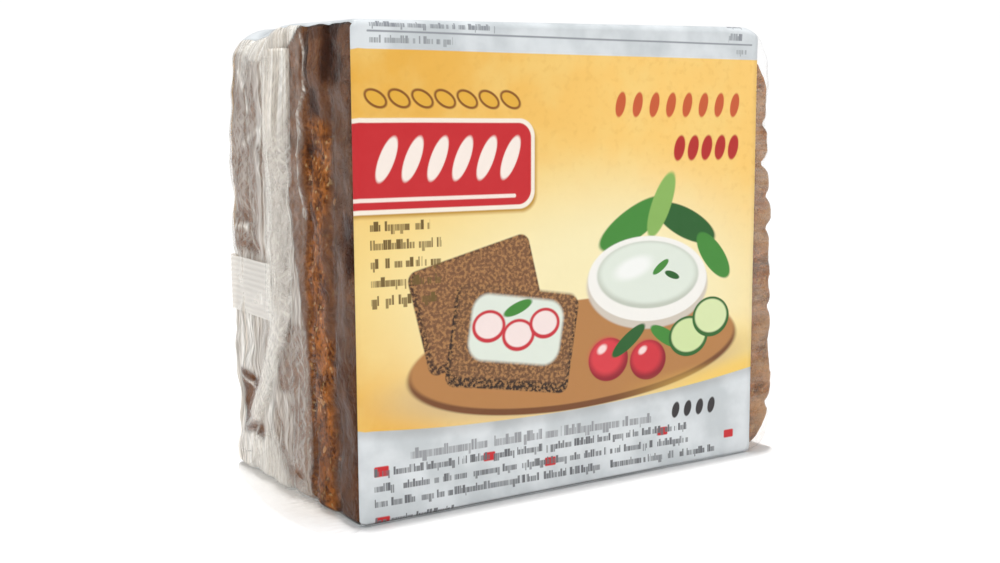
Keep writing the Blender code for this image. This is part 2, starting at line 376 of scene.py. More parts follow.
def pack_form(point, front, back, rim, sunk, fade, extra, corner=corner_round):
    """A point of the sharp block, on the rounded form.

    front and back are the Y places of the two faces, rim the radius of their edges. sunk is how
    far the outline lies inside the film, fading over the distance fade on the faces, extra is a
    rule for more relief at the ends, and corner is the rule for the corner radius.
    """
    x, y, z = point
    at_left = x < PACK_WIDTH / 2.0
    at_top = z > PACK_HEIGHT / 2.0
    in_x = x if at_left else PACK_WIDTH - x
    in_z = PACK_HEIGHT - z if at_top else z
    in_y = min(y - front, back - y)
    depth = min(in_x, in_z)
    outward = Vector((1.0, 0.0)) if in_x < in_z else Vector((0.0, 1.0))
    in_x, in_z, turned = ring_to_arc(in_x, in_z, corner(at_left, at_top, y))
    outward = turned or outward
    new_depth, new_in_y, _ = ring_to_arc(depth, in_y, rim)
    near = max(1.0 - depth / fade, 0.0)
    proud = (end_relief(y, z, at_left) + extra(y, z, at_left)) * outward.x ** 2
    sink = new_depth - depth + (sunk - proud) * near
    in_x += sink * outward.x
    in_z += sink * outward.y
    return Vector((
        in_x if at_left else PACK_WIDTH - in_x,
        front + new_in_y if y - front < back - y else back - new_in_y,
        PACK_HEIGHT - in_z if at_top else in_z,
    ))


print("a sharp rim moves in by", round(ring_to_arc(0.0, 0.0, RIM_ROUND)[0] / MM, 2), "mm each way")

# %% [markdown]
# ## The look of rye crumb
#
# Wholegrain rye bread is dark and moist. Its cut edges are a patchwork of dark brown crumb, warmer
# orange-brown spots, small black pores and pale flecks of bran. Noise at three sizes gives the
# patches, and a cell pattern gives the pores, all with their scale in cells a metre. It is a
# group, so that its colours stay inputs. Where a slice is pressed against the film, its pattern
# gives way to one even brown. Each slice also carries how wet it is: wet crumb is darker and
# glossier, and dry crumb, with a wetness below zero, is paler.

# %% Crumb group
PATCH_SCALE, SPECKLE_SCALE, BRAN_SCALE, PORE_SCALE = 300.0, 1100.0, 900.0, 1000.0
PATCH_SHARE, SPECKLE_SHARE, BRAN_SHARE, PORE_SHARE = 0.55, 0.45, 0.55, 0.6
PORE_SHADE = paint(30, 16, 9)


def crumb_group():
    """Colour and height of rye crumb at a place."""
    inputs = {"Place": "Vector", "Dark": "Color", "Warm": "Color", "Pale": "Color"}
    group, enter, leave = new_group("rye_crumb", inputs, {"Colour": "Color", "Height": "Float"})
    place = enter["Place"]
    patches = ramp(group, pattern(group, place, PATCH_SCALE, 4.0), 0.36, 0.66)
    speckle = ramp(group, pattern(group, place, SPECKLE_SCALE, 5.0), 0.40, 0.62)
    flecks = ramp(group, pattern(group, place, BRAN_SCALE, 1.0), 0.62, 0.72)
    pores = put(group, "ShaderNodeTexVoronoi", {"Vector": place, "Scale": PORE_SCALE})
    holes = ramp(group, pores.outputs["Distance"], 0.10, 0.34, 1.0, 0.0)
    warm = sums(group, "MULTIPLY_ADD", patches, PATCH_SHARE, times(group, speckle, SPECKLE_SHARE))
    colour = blend(group, warm, enter["Dark"], enter["Warm"])
    colour = blend(group, times(group, flecks, BRAN_SHARE), colour, enter["Pale"])
    colour = blend(group, times(group, holes, PORE_SHARE), colour, PORE_SHADE)
    group.links.new(colour, leave["Colour"])
    group.links.new(sums(group, "SUBTRACT", speckle, holes), leave["Height"])
    return group


crumb = crumb_group()
print("crumb group:", len(crumb.nodes), "nodes")

# %% Bread material
DARK_CRUMB, WARM_CRUMB, PALE_BRAN = paint(74, 38, 15), paint(188, 114, 54), paint(216, 182, 124)
EVEN_DARK, EVEN_PALE = paint(112, 72, 46), paint(136, 92, 62)
WET_TINT = (0.20, 0.14, 0.11, 1.0)
DRY_CRUMB = paint(188, 146, 106)
DRY_SHARE = 0.8
DRY_ROUGHNESS, WET_ROUGHNESS = 0.62, 0.3


def bread_material():
    """Dark moist rye crumb."""
    made, tree, surface = empty_material("rye_crumb")
    inputs = {"Place": own_place(tree), "Dark": DARK_CRUMB, "Warm": WARM_CRUMB, "Pale": PALE_BRAN}
    look = put(tree, "ShaderNodeGroup", inputs, node_tree=crumb).outputs
    wet = carried(tree, "wet")
    fine = sums(tree, "MULTIPLY", look["Height"], 0.5, clamp=True)
    even_brown = blend(tree, fine, EVEN_DARK, EVEN_PALE)
    crumbly = blend(tree, carried(tree, "even"), look["Colour"], even_brown)
    inputs = {0: wet, 6: crumbly, 7: WET_TINT}
    soaked = put(tree, "ShaderNodeMix", inputs, data_type="RGBA", blend_type="MULTIPLY").outputs[2]
    dry = sums(tree, "MULTIPLY", wet, -DRY_SHARE, clamp=True)
    colour = blend(tree, dry, soaked, DRY_CRUMB)
    roughness = ramp(tree, wet, 0.0, 1.0, DRY_ROUGHNESS, WET_ROUGHNESS)
    finish = {"Base Color": colour, "Roughness": roughness, "Specular IOR Level": 0.06}
    tree.links.new(bumped_shader(tree, finish, look["Height"], 0.6, 0.4 * MM), surface)
    return made


rye_bread = bread_material()
print("bread material ready")

# %% [markdown]
# ## The slices
#
# Each slice is a cut cube with fine cells at its two ends, where it shows, and coarse ones between.
# The shared rule rounds it, and extra noise gives the rough edge of real bread a little inside
# the film. No two slices are alike: each one is also shifted a little to the side. Two lists of
# soft zones say where a slice is wet and where it is pressed to an even brown.

# %% Sizes and zones of the slices
SLICE_GAP = 0.25 * MM
FACE_BELOW_FILM = 0.55 * MM
BREAD_BELOW_FILM = 0.45 * MM
FACE_CELL = 0.75 * MM
SHOWN_STRIP = 6.0 * MM
SLICE_RIM = 0.8 * MM
ROUGH_HEIGHT = 0.26 * MM
ROUGH_SIZE = 1.3 * MM
SLICE_STAGGER = 0.25 * MM
RIGHT_CLOSER = 0.25 * MM
BREAD_RIGHT_TOP_ROUND = 16.0 * MM
BREAD_RIGHT_BOTTOM_ROUND = 10.0 * MM
WET_SOFTNESS = 1.8
WET_WANDER = (1.1, 1.6)
BLOT_SIZE = (40.0, 2.6, 4.4)
BLOT_SHARE = 0.35
DRY_PATCH = 4.0
DRYNESS = 0.62
WET_ZONES = (
    # depth from, depth to, height from, height to in mm, wetness
    (-2.0, 9.6, -2.0, 92.0, 0.50),
    (-2.0, 9.6, -2.0, 34.0, 0.64),
    (9.6, 12.0, 33.0, 56.0, 0.40),
    (9.0, 19.0, 72.5, 92.0, 0.42),
    (9.6, 20.0, -2.0, 16.0, 0.42),
    (12.0, 19.5, 16.0, 27.0, 0.20),
    (11.5, 17.5, 80.0, 87.0, 0.08),
    (4.6, 11.4, 79.2, 92.0, 1.00),
    (13.8, 18.0, 73.0, 78.2, 1.00),
    (17.4, 19.6, 80.5, 89.0, 0.90),
    (12.5, 16.0, 86.5, 89.0, 0.80),
    (15.5, 20.0, 66.0, 70.5, 0.75),
    (14.0, 19.0, 51.0, 57.0, 0.60),
    (11.5, 14.5, 41.0, 43.5, 0.80),
    (1.6, 5.2, 50.0, 55.8, 1.00),
    (-2.0, 3.2, 45.8, 52.6, 1.00),
)
EVEN_ZONES = (
    # depth from, depth to, height from, height to in mm, share of even brown
    (-2.0, 60.0, -2.0, 92.0, 0.88),
    (10.2, 19.4, -2.0, 72.0, 0.00),
    (9.7, 12.4, 33.0, 56.0, 0.75),
)
EVEN_AT_RIGHT = 0.25
EVEN_WANDER = 1.2
EVEN_WANDER_DEPTH, EVEN_WANDER_HEIGHT, EVEN_WANDER_LAYER = 3.0, 5.0, 7.0
LEFT_ROUGH_LAYER = 20.0
RIGHT_ROUGH_LAYER = 30.0
SLICE_NOISE_STEP = 5.3
print(len(WET_ZONES), "wet zones and", len(EVEN_ZONES), "even ones")


# %% Rules for rough edges and for wet and even crumb
def rough_edge(y, z, at_left):
    """Fine roughness of a cut slice edge, with each slice set in by its own amount."""
    side = LEFT_ROUGH_LAYER if at_left else RIGHT_ROUGH_LAYER
    slice_place = math.floor(y / SLICE_THICKNESS) * SLICE_NOISE_STEP
    stagger = SLICE_STAGGER * noise.noise(Vector((side, slice_place, 0.5)))
    rough = ROUGH_HEIGHT * noise.noise(Vector((side, y / ROUGH_SIZE, z / ROUGH_SIZE)))
    return rough + stagger + (0.0 if at_left else RIGHT_CLOSER)


def bread_corner(at_left, at_top, y):
    """The slices' corner radius: at the right the film spans rounder corners."""
    if at_left:
        return corner_round(at_left, at_top, y)
    return BREAD_RIGHT_TOP_ROUND if at_top else BREAD_RIGHT_BOTTOM_ROUND


def wetness(x, y, z):
    """How wet the crumb is at the left, in patches, and how dry, below zero, at the right."""
    if x > PACK_WIDTH / 2.0:
        patch = noise.noise(Vector((x, y, z)) / MM / DRY_PATCH)
        return patch - DRYNESS
    blot = noise.noise(Vector((x / BLOT_SIZE[0], y / BLOT_SIZE[1], z / BLOT_SIZE[2])) / MM)
    y, z = y / MM + WET_WANDER[0] * blot, z / MM + WET_WANDER[1] * blot
    return min(max(wash(y, z, WET_ZONES, WET_SOFTNESS) + BLOT_SHARE * blot, 0.0), 1.0)


def evenness(x, y, z):
    """How much of the crumb's pattern is pressed to one even brown against the film."""
    if x > PACK_WIDTH / 2.0:
        return EVEN_AT_RIGHT
    place = (EVEN_WANDER_LAYER, y / EVEN_WANDER_DEPTH, z / EVEN_WANDER_HEIGHT)
    wander = EVEN_WANDER * noise.noise(Vector(place) / MM)
    return wash(y / MM + wander, z / MM + wander, EVEN_ZONES, WET_SOFTNESS)


print("wetness of the near edge:", round(wetness(0.0, 0.0, PACK_HEIGHT / 2.0), 2))


# %% Six slices
def bread_point(point, front, back):
    """A point of the sharp block, on the bread."""
    rim, below, strip = SLICE_RIM, BREAD_BELOW_FILM, SHOWN_STRIP
    return pack_form(point, front, back, rim, below, strip, rough_edge, bread_corner)


def bread_slice(index):
    """One slice, from its front face at the film to its back face."""
    front = max(SLICE_THICKNESS * index + SLICE_GAP / 2.0, FACE_BELOW_FILM)
    back = min(SLICE_THICKNESS * (index + 1) - SLICE_GAP / 2.0, PACK_DEPTH - FACE_BELOW_FILM)
    strip = even(0.0, SHOWN_STRIP, round(SHOWN_STRIP / FACE_CELL) + 1)
    middle = even(SHOWN_STRIP, PACK_WIDTH - SHOWN_STRIP, 8)
    xs = strip + middle[1:-1] + [PACK_WIDTH - x for x in reversed(strip)]
    ys = even(front, back, round(SLICE_THICKNESS / FACE_CELL) + 1)
    zs = even(0.0, PACK_HEIGHT, round(PACK_HEIGHT / FACE_CELL) + 1)
    mesh = cut_cube(xs, ys, zs)
    wet = mesh.verts.layers.float.new("wet")
    even_share = mesh.verts.layers.float.new("even")
    for vert in mesh.verts:
        vert[wet] = wetness(*vert.co)
        vert[even_share] = evenness(*vert.co)
        vert.co = bread_point(vert.co, front, back)
    place_piece(f"bread_slice_{index + 1}", mesh, rye_bread)


for index in range(SLICE_COUNT):
    bread_slice(index)

# %% [markdown]
# ## The grains
#
# Whole and cracked rye grains stick in the crumb and show as pale spots at the cut edges. Each one
# is a small sphere stretched to a grain, turned at random and sunk most of the way into the bread,
# deeper still where the bread is pressed flat. All of them are joined in one mesh, and the random
# draws are seeded, so every run is the same.

# %% Grain material
GRAIN_LENGTH = 2.0 * MM
GRAIN_BREADTH = 1.35 * MM
GRAINS_AN_END = 80
GRAIN_SUNK = 0.34
GRAIN_PRESSED = 0.30
GRAIN_SMALLEST, GRAIN_LARGEST = 0.55, 1.1
GRAIN_NOD = 0.4
GRAINS_FROM_FACE = 1.5 * MM
GRAINS_FROM_RIM = 2.0 * MM
GRAIN_KIND_SCALE, GRAIN_SKIN_SCALE = 160.0, 1500.0
DARK_GRAIN, PALE_GRAIN, GRAIN_SKIN = paint(116, 68, 34), paint(186, 132, 72), paint(132, 84, 46)
draw = random.Random(7)


def grain_material():
    """Swollen cooked grains, straw to orange-brown."""
    made, tree, surface = empty_material("rye_grains")
    place = own_place(tree)
    skin = pattern(tree, place, GRAIN_SKIN_SCALE, 2.0)
    which = ramp(tree, pattern(tree, place, GRAIN_KIND_SCALE, 1.0), 0.40, 0.62)
    colour = blend(tree, which, DARK_GRAIN, PALE_GRAIN)
    colour = blend(tree, times(tree, skin, 0.5), colour, GRAIN_SKIN)
    finish = {"Base Color": colour, "Roughness": 0.45}
    tree.links.new(bumped_shader(tree, finish, skin, 0.3, 0.2 * MM), surface)
    return made


rye_grains = grain_material()
print("grain material ready")


# %% Grains in the crumb
def add_grain(mesh, at_left):
    """One grain at a random place of an end."""
    size = draw.uniform(GRAIN_SMALLEST, GRAIN_LARGEST)
    y = draw.uniform(GRAINS_FROM_FACE, PACK_DEPTH - GRAINS_FROM_FACE)
    z = draw.uniform(GRAINS_FROM_RIM, PACK_HEIGHT - GRAINS_FROM_RIM)
    x = 0.0 if at_left else PACK_WIDTH
    spot = bread_point((x, y, z), 0.0, PACK_DEPTH)
    inward = 1.0 if at_left else -1.0
    sunk = GRAIN_SUNK + GRAIN_PRESSED * evenness(x, y, z)
    spot.x += inward * GRAIN_BREADTH * size * sunk
    stretch = Matrix.Diagonal((GRAIN_BREADTH, GRAIN_BREADTH, GRAIN_LENGTH, 1.0))
    lean = Matrix.Rotation(draw.uniform(0.0, math.pi), 4, "X")
    nod = Matrix.Rotation(draw.uniform(-GRAIN_NOD, GRAIN_NOD), 4, "Y")
    place = Matrix.Translation(spot) @ lean @ nod @ Matrix.Scale(size, 4) @ stretch
    bmesh.ops.create_icosphere(mesh, subdivisions=2, radius=0.5, matrix=place)


grain_mesh = bmesh.new()
for grain in range(GRAINS_AN_END):
    add_grain(grain_mesh, at_left=True)
    add_grain(grain_mesh, at_left=False)
place_piece("rye_grains", grain_mesh, rye_grains)

# %% [markdown]
# ## The film over the slices
#
# The film takes the same form as the bread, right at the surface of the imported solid. Its wide
# panels sag a little between the rims, which fades out towards the rims themselves.

# %% Points of the film
RELIEF_FADE = 1.4 * MM
SAG_FADE = 4.0 * MM
FILM_THICKNESS = 0.1 * MM


def no_extra(y, z, at_left):
    """No more relief at the ends."""
    return 0.0


def film_point(point, extra=no_extra):
    """A point of the sharp block's surface, on the film."""
    x, y, z = point
    placed = pack_form(point, 0.0, PACK_DEPTH, RIM_ROUND, 0.0, RELIEF_FADE, extra)
    from_side = min(x, PACK_WIDTH - x)
    from_face = min(y, PACK_DEPTH - y)
    from_top = PACK_HEIGHT - z
    if from_face < FILM_THICKNESS:
        sag = panel_sag(x, z + y) * smooth_step(min(from_side, z, from_top) / SAG_FADE)
        placed.y += sag if y < PACK_DEPTH / 2.0 else -sag
    elif from_top < FILM_THICKNESS:
        placed.z -= panel_sag(x, y) * smooth_step(min(from_side, from_face) / SAG_FADE)
    return placed


def delete_where(mesh, test):
    """Deletes the faces whose middle passes a test."""
    found = [face for face in mesh.faces if test(face.calc_center_median())]
    bmesh.ops.delete(mesh, geom=found, context="FACES")


print("film form ready")

# %% [markdown]
# ## The look of clear film
#
# Clear film shows in two ways. Where it clings to moist crumb it is almost invisible, with a thin
# mirror that grows towards the edge of view. Where it is crimped, creased or several layers deep,
# it turns milky in fine streaks. Each film mesh carries two numbers per point: its haze, and how
# streaky the haze is, from 1 for crimped film over 0 for blotched to below 0 for plain film. The
# material turns them into milky film over clear film. The streaks are noise stretched to long
# cells: some stand upright, some lean either way, and some are short hatches.

# %% Film group
STREAKS = (
    # lean, size of a cell in X, Y and Z in metres, detail, where the streak starts and is full
    (0.0, (0.020, 0.0006, 0.045), 3.0, 0.36, 0.64),
    (0.42, (0.020, 0.0009, 0.018), 2.0, 0.36, 0.68),
    (-0.38, (0.020, 0.0009, 0.016), 2.0, 0.40, 0.70),
    (0.03, (0.020, 0.00045, 0.060), 1.0, 0.58, 0.70),
    (0.0, (0.004, 0.0022, 0.0028), 5.0, 0.36, 0.66),
    (0.75, (0.010, 0.0007, 0.0048), 2.0, 0.44, 0.66),
    (-0.62, (0.010, 0.0007, 0.0055), 2.0, 0.44, 0.66),
)
UPRIGHT_SHARE, LEANING_SHARE, CROSSING_SHARE = 0.45, 0.30, 0.25
STREAKED_LEAST, STREAKED_RISE, THREAD_RISE = 0.45, 1.10, 0.45
BLOTCHED_LEAST, BLOTCH_RISE, HATCH_RISE = 0.42, 0.5, 0.65
PLAIN_TONE = 0.7


def stretched_noise(group, place, lean, size, detail, start, full):
    """Noise stretched to long cells that lean to the back, with a start and a full value."""
    inputs = {"Vector": place, "Rotation": (lean, 0.0, 0.0), "Scale": size}
    turned = put(group, "ShaderNodeMapping", inputs, vector_type="TEXTURE").outputs[0]
    inputs = {"Vector": turned, "Scale": 1.0, "Detail": detail, "Roughness": 0.6}
    return ramp(group, put(group, "ShaderNodeTexNoise", inputs).outputs["Fac"], start, full)


def between(group, share, first, second):
    """A value between two values."""
    return put(group, "ShaderNodeMix", {0: share, 2: first, 3: second}).outputs[0]


def streak_group():
    """Milkiness, tone and height of film, from its haze, its streaks and its place."""
    inputs = {"Place": "Vector", "Haze": "Float", "Streaks": "Float"}
    outputs = {"Milk": "Float", "Tone": "Float", "Height": "Float"}
    group, enter, leave = new_group("film_streaks", inputs, outputs)
    upright, leaning, crossing, threads, blotches, rising, falling = [
        stretched_noise(group, enter["Place"], *streak) for streak in STREAKS
    ]
    woven = times(group, crossing, CROSSING_SHARE)
    woven = sums(group, "MULTIPLY_ADD", leaning, LEANING_SHARE, woven)
    woven = sums(group, "MULTIPLY_ADD", upright, UPRIGHT_SHARE, woven)
    streaked = sums(group, "MULTIPLY_ADD", woven, STREAKED_RISE, STREAKED_LEAST)
    streaked = sums(group, "MULTIPLY_ADD", threads, THREAD_RISE, streaked)
    hatched = times(group, sums(group, "MAXIMUM", rising, falling), HATCH_RISE)
    blotched = sums(group, "MULTIPLY_ADD", blotches, BLOTCH_RISE, hatched)
    blotched = sums(group, "ADD", blotched, BLOTCHED_LEAST)
    patterned = sums(group, "ADD", enter["Streaks"], 1.0, clamp=True)
    blotched = between(group, patterned, 1.0, blotched)
    crimped = times(group, ramp(group, enter["Haze"], 0.20, 0.50), enter["Streaks"])
    share = between(group, crimped, blotched, streaked)
    milk = sums(group, "MULTIPLY", enter["Haze"], share, clamp=True)
    group.links.new(milk, leave["Milk"])
    group.links.new(between(group, enter["Streaks"], PLAIN_TONE, upright), leave["Tone"])
    height = times(group, woven, sums(group, "MAXIMUM", enter["Streaks"], 0.0))
    group.links.new(height, leave["Height"])
    return group


film_streaks = streak_group()
print("film group:", len(film_streaks.nodes), "nodes")

# %% Clear film material
MIRROR_POWER, MIRROR_RISE, MIRROR_LEAST = 5.0, 0.45, 0.004
MIRROR_ROUGHNESS, MILKY_ROUGHNESS = 0.14, 0.38
MILKY_SHADE, MILKY_LIGHT = paint(228, 218, 204), paint(252, 250, 244)


def clear_film_material():
    """Clear film that turns milky where its haze says so."""
    made, tree, surface = empty_material("clear_film")
    inputs = {
        "Place": own_place(tree),
        "Haze": carried(tree, "haze"),
        "Streaks": carried(tree, "streaks"),
    }
    look = put(tree, "ShaderNodeGroup", inputs, node_tree=film_streaks).outputs
    inputs = {"Height": look["Height"], "Strength": 0.2, "Distance": 0.3 * MM}
    bump = put(tree, "ShaderNodeBump", inputs).outputs["Normal"]
    inner = put(tree, "ShaderNodeNewGeometry").outputs["Backfacing"]
    outer = sums(tree, "SUBTRACT", 1.0, inner)
    facing = put(tree, "ShaderNodeLayerWeight", {"Blend": 0.5}).outputs["Facing"]
    mirror = sums(tree, "POWER", facing, MIRROR_POWER)
    mirror = sums(tree, "MULTIPLY_ADD", mirror, MIRROR_RISE, MIRROR_LEAST)
    mirror = times(tree, mirror, outer)
    see_through = put(tree, "ShaderNodeBsdfTransparent", {"Color": (1.0, 1.0, 1.0, 1.0)})
    gloss = put(tree, "ShaderNodeBsdfGlossy", {"Roughness": MIRROR_ROUGHNESS, "Normal": bump})
    layers = {0: mirror, 1: see_through.outputs[0], 2: gloss.outputs[0]}
    clear = put(tree, "ShaderNodeMixShader", layers)
    tone = blend(tree, look["Tone"], MILKY_SHADE, MILKY_LIGHT)
    finish = {"Base Color": tone, "Roughness": MILKY_ROUGHNESS, "Normal": bump}
    milky = put(tree, "ShaderNodeBsdfPrincipled", finish)
    layers = {0: times(tree, look["Milk"], outer), 1: clear.outputs[0], 2: milky.outputs[0]}
    film = put(tree, "ShaderNodeMixShader", layers)
    tree.links.new(film.outputs[0], surface)
    return made


clear_film = clear_film_material()
print("clear film material ready")

# %% [markdown]
# ## Where the left end is clear and where it is milky
#
# The haze of the left end is drawn as two lists of zones, one for the clear film at the front and
# one for the milky film behind it. Each zone is a soft-edged rectangle in millimetres of depth and
# height, laid over the others like a wash of paint, and the milky part starts at a slanting line
# in the middle. A third list gives the creases: ridges where the film stands up from the bread,
# brightened with extra haze as a painted highlight, and dark valleys where it is pulled in and
# its haze is less.

# %% Haze and creases of the left end
EDGE_HEIGHTS = (0.0, 14.0, 30.0, 38.7, 45.0, 50.0, 55.0, 65.0, 75.0, 83.0, 86.0, 88.0, 90.0)
EDGE_DEPTHS = (19.2, 19.5, 20.0, 21.0, 22.2, 23.6, 24.3, 25.0, 25.2, 26.2, 24.0, 22.0, 19.6)
EDGE_SOFTNESS = 0.9
NEAR_EDGE_HAZE = 0.135
NEAR_EDGE = (19.8, 30.0, 1.0)
NEAR_EDGE_ABOVE = 30.0
HAZE_WANDER = 1.2
HAZE_WANDER_SIZE = 6.0
HAZE_NOISE_LAYER = 2.0
ZONE_SOFTNESS = 1.8
LEFT_ZONES = (
    # depth from, depth to, height from, height to, haze
    (-2.0, 9.7, -2.0, 92.0, 0.040),
    (-2.0, 9.7, -2.0, 30.0, 0.008),
    (9.7, 12.2, 33.0, 56.0, 0.025),
    (9.0, 18.8, 72.5, 92.0, 0.012),
    (12.0, 18.0, 80.5, 87.0, 0.020),
    (4.4, 11.8, 78.6, 92.0, 0.00),
    (13.6, 18.2, 72.6, 78.4, 0.00),
    (1.4, 5.4, 49.4, 56.0, 0.00),
    (-2.0, 3.4, 45.4, 52.6, 0.00),
)
MILKY_ZONES = (
    # depth from, depth to, height from, height to, haze
    (19.0, 56.0, -2.0, 92.0, 0.50),
    (26.0, 39.0, 34.0, 92.0, 0.58),
    (20.0, 56.0, 85.5, 92.0, 0.85),
    (39.8, 56.0, 45.5, 85.0, 0.32),
    (40.0, 52.0, 79.5, 85.0, 0.40),
    (38.5, 56.0, 20.8, 33.0, 0.72),
    (20.0, 32.0, -2.0, 34.0, 0.31),
    (28.0, 42.0, 8.0, 20.0, 0.55),
    (32.0, 50.0, -2.0, 8.0, 0.78),
    (41.0, 50.0, 8.5, 20.6, 0.05),
    (50.3, 56.0, -2.0, 21.0, 0.75),
)
LEFT_CREASES = (
    # depth and height of both ends, half breadth, rise, change of haze, which above zero is a
    # painted highlight
    (20.2, 88.0, 18.4, 84.5, 0.28, 0.20, 0.42),
    (18.4, 84.5, 18.9, 78.0, 0.28, 0.30, 0.50),
    (18.9, 78.0, 21.2, 73.5, 0.28, 0.25, 0.42),
    (21.2, 73.5, 21.3, 66.0, 0.28, 0.30, 0.45),
    (21.3, 66.0, 20.3, 57.0, 0.26, 0.22, 0.34),
    (20.1, 56.0, 20.0, 54.5, 0.40, 0.10, 0.35),
    (20.0, 33.0, 19.5, 4.0, 0.40, 0.10, 0.22),
    (49.5, 81.5, 42.5, 74.0, 0.60, 0.15, 0.28),
    (47.0, 67.0, 40.0, 70.0, 0.60, 0.10, 0.18),
    (40.0, 70.0, 33.0, 69.5, 0.60, 0.10, 0.12),
    (50.8, 50.4, 45.0, 51.0, 0.50, 0.15, 0.35),
    (47.5, 50.5, 40.5, 46.2, 0.45, 0.10, 0.28),
    (45.5, 60.0, 41.0, 52.5, 0.60, 0.10, 0.14),
    (50.0, 19.6, 46.0, 18.2, 0.50, 0.20, 0.40),
    (46.0, 18.2, 42.0, 15.6, 0.50, 0.20, 0.45),
    (40.0, 19.0, 50.0, 7.5, 0.70, 0.30, 0.40),
    (38.5, 17.0, 46.0, 5.5, 0.55, 0.25, 0.30),
    (37.0, 15.0, 41.0, 4.0, 0.55, 0.20, 0.20),
    (50.0, 54.5, 41.0, 47.0, 0.65, -0.10, -0.19),
    (50.0, 47.2, 39.5, 46.6, 0.90, 0.00, -0.14),
    (38.8, 66.5, 37.8, 64.5, 0.80, 0.00, -0.30),
    (32.8, 67.5, 32.6, 62.5, 0.70, 0.00, -0.30),
    (31.6, 28.0, 30.2, 21.0, 0.80, -0.15, -0.16),
    (33.2, 16.5, 30.8, 8.5, 0.85, -0.15, -0.26),
    (30.8, 8.5, 27.0, 3.0, 0.60, -0.10, -0.16),
    (27.2, 5.0, 23.8, 4.4, 1.20, 0.00, -0.24),
    (24.5, 1.0, 19.5, -0.6, 0.80, -0.10, -0.28),
    (36.0, 8.0, 34.2, 6.8, 0.80, 0.00, -0.35),
    (46.0, 19.6, 41.0, 19.4, 0.90, 0.00, -0.10),
)
RISE_COLUMN, HAZE_AND_HIGHLIGHT_COLUMN = 5, 6
print("left end:", len(LEFT_ZONES) + len(MILKY_ZONES), "zones,", len(LEFT_CREASES), "creases")


# %% Rules for haze and creases
def film_layers(mesh):
    """The two numbers that film meshes carry per point: haze, and how streaky the haze is."""
    return mesh.verts.layers.float.new("haze"), mesh.verts.layers.float.new("streaks")


def off_line(y, z, line):
    """How far a place is from a straight crease."""
    start, end = Vector(line[0:2]), Vector(line[2:4])
    along = end - start
    share = min(max((Vector((y, z)) - start).dot(along) / along.length_squared, 0.0), 1.0)
    return (Vector((y, z)) - start - along * share).length


def crease_sum(y, z, column):
    """The sum of one column of the crease list at a place."""
    near = (math.exp(-(off_line(y, z, line) / line[4]) ** 2) for line in LEFT_CREASES)
    return sum(line[column] * share for line, share in zip(LEFT_CREASES, near))


def left_haze(y, z):
    """How milky the film is at a place of the left end, given in metres, with painted crease
    highlights.
    """
    y, z = y / MM, z / MM
    place = Vector((y / HAZE_WANDER_SIZE, z / HAZE_WANDER_SIZE, HAZE_NOISE_LAYER))
    wander = HAZE_WANDER * noise.noise(place)
    haze = wash(y + wander, z + wander, LEFT_ZONES, ZONE_SOFTNESS)
    milky = wash(y + wander, z + wander, MILKY_ZONES, ZONE_SOFTNESS)
    edge = np.interp(z, EDGE_HEIGHTS, EDGE_DEPTHS)
    near_edge = NEAR_EDGE_HAZE * window(y, *NEAR_EDGE)
    haze = max(haze, near_edge) if z > NEAR_EDGE_ABOVE else haze
    haze += (milky - haze) * smooth_step((y - edge) / EDGE_SOFTNESS)
    # Crease ridges add haze as a painted highlight; crease valleys take haze away.
    return min(max(haze + crease_sum(y, z, HAZE_AND_HIGHLIGHT_COLUMN), 0.0), 1.0)


def left_crease(y, z, at_left):
    """How far the creases stand out at a place of the left end, given in metres."""
    return crease_sum(y / MM, z / MM, RISE_COLUMN) * MM


print("haze behind the slanting line:", round(left_haze(40.0 * MM, 60.0 * MM), 2))

# %% [markdown]
# ## The clear ends
#
# Each end is a cut box without its inner side, so it closes over the end and reaches round to the
# edge of the print. The haze is stored on the sharp box first, while places are easy to name, and
# the points then move to the form of the film. That form would bend the straight edge that film
# and print share at the right, so the sharp box is bent the other way first, in a few rounds.

# %% The band's edge and the haze of the right end
END_CELL = 0.5 * MM
LEFT_FILM_TO = 0.15 * MM
RIGHT_HAZE = 0.07
EDGE_STEPS = 8
FRONT_STRIP_TO = 1.5 * MM
PLAIN_FILM_TO = 20.0 * MM
FRONT_STRIP_HAZE = 0.08
FRONT_STRIP_TOP_HAZE = 0.10
FRONT_CLEAR_ABOVE, SIDE_CLEAR_ABOVE, CLEAR_OVER = 78.0, 72.0, 6.0
RIGHT_PATCH_DEPTH, RIGHT_PATCH_HEIGHT, RIGHT_PATCH_LAYER = 9.0, 14.0, 40.0
GATHERED = (22.0, 38.0, 4.0)
GATHERED_TOP = (30.0, 50.0, 6.0)
GATHERED_TOP_FROM, GATHERED_TOP_OVER = 78.0, 8.0
GATHERED_HAZE = 0.35


@functools.lru_cache(maxsize=None)
def band_edge(y, z):
    """The sharp box's X that lands on the band's straight edge once it is rounded."""
    x = BAND_WIDTH
    for _ in range(EDGE_STEPS):
        x += BAND_WIDTH - film_point(Vector((x, y, z))).x
    return x


def right_haze(y, z):
    """How milky the film is at the right end: more so where it is gathered and on the front."""
    if y < FRONT_STRIP_TO:
        below_corner = 1.0 - smooth_step((z / MM - FRONT_CLEAR_ABOVE) / CLEAR_OVER)
        return (FRONT_STRIP_HAZE + FRONT_STRIP_TOP_HAZE * z / PACK_HEIGHT) * below_corner
    place = Vector((y / RIGHT_PATCH_DEPTH, z / RIGHT_PATCH_HEIGHT, RIGHT_PATCH_LAYER)) / MM
    below_corner = 1.0 - smooth_step((z / MM - SIDE_CLEAR_ABOVE) / CLEAR_OVER)
    thin = RIGHT_HAZE * (1.0 + noise.noise(place)) * below_corner
    gathered = GATHERED_HAZE * window(y / MM, *GATHERED)
    top = GATHERED_HAZE * smooth_step((z / MM - GATHERED_TOP_FROM) / GATHERED_TOP_OVER)
    top *= window(y / MM, *GATHERED_TOP)
    return min(max(thin + gathered + top, 0.0), 1.0)


print("the sharp box's edge lies at", round(band_edge(0.0, PACK_HEIGHT / 2.0) / MM, 2), "mm")


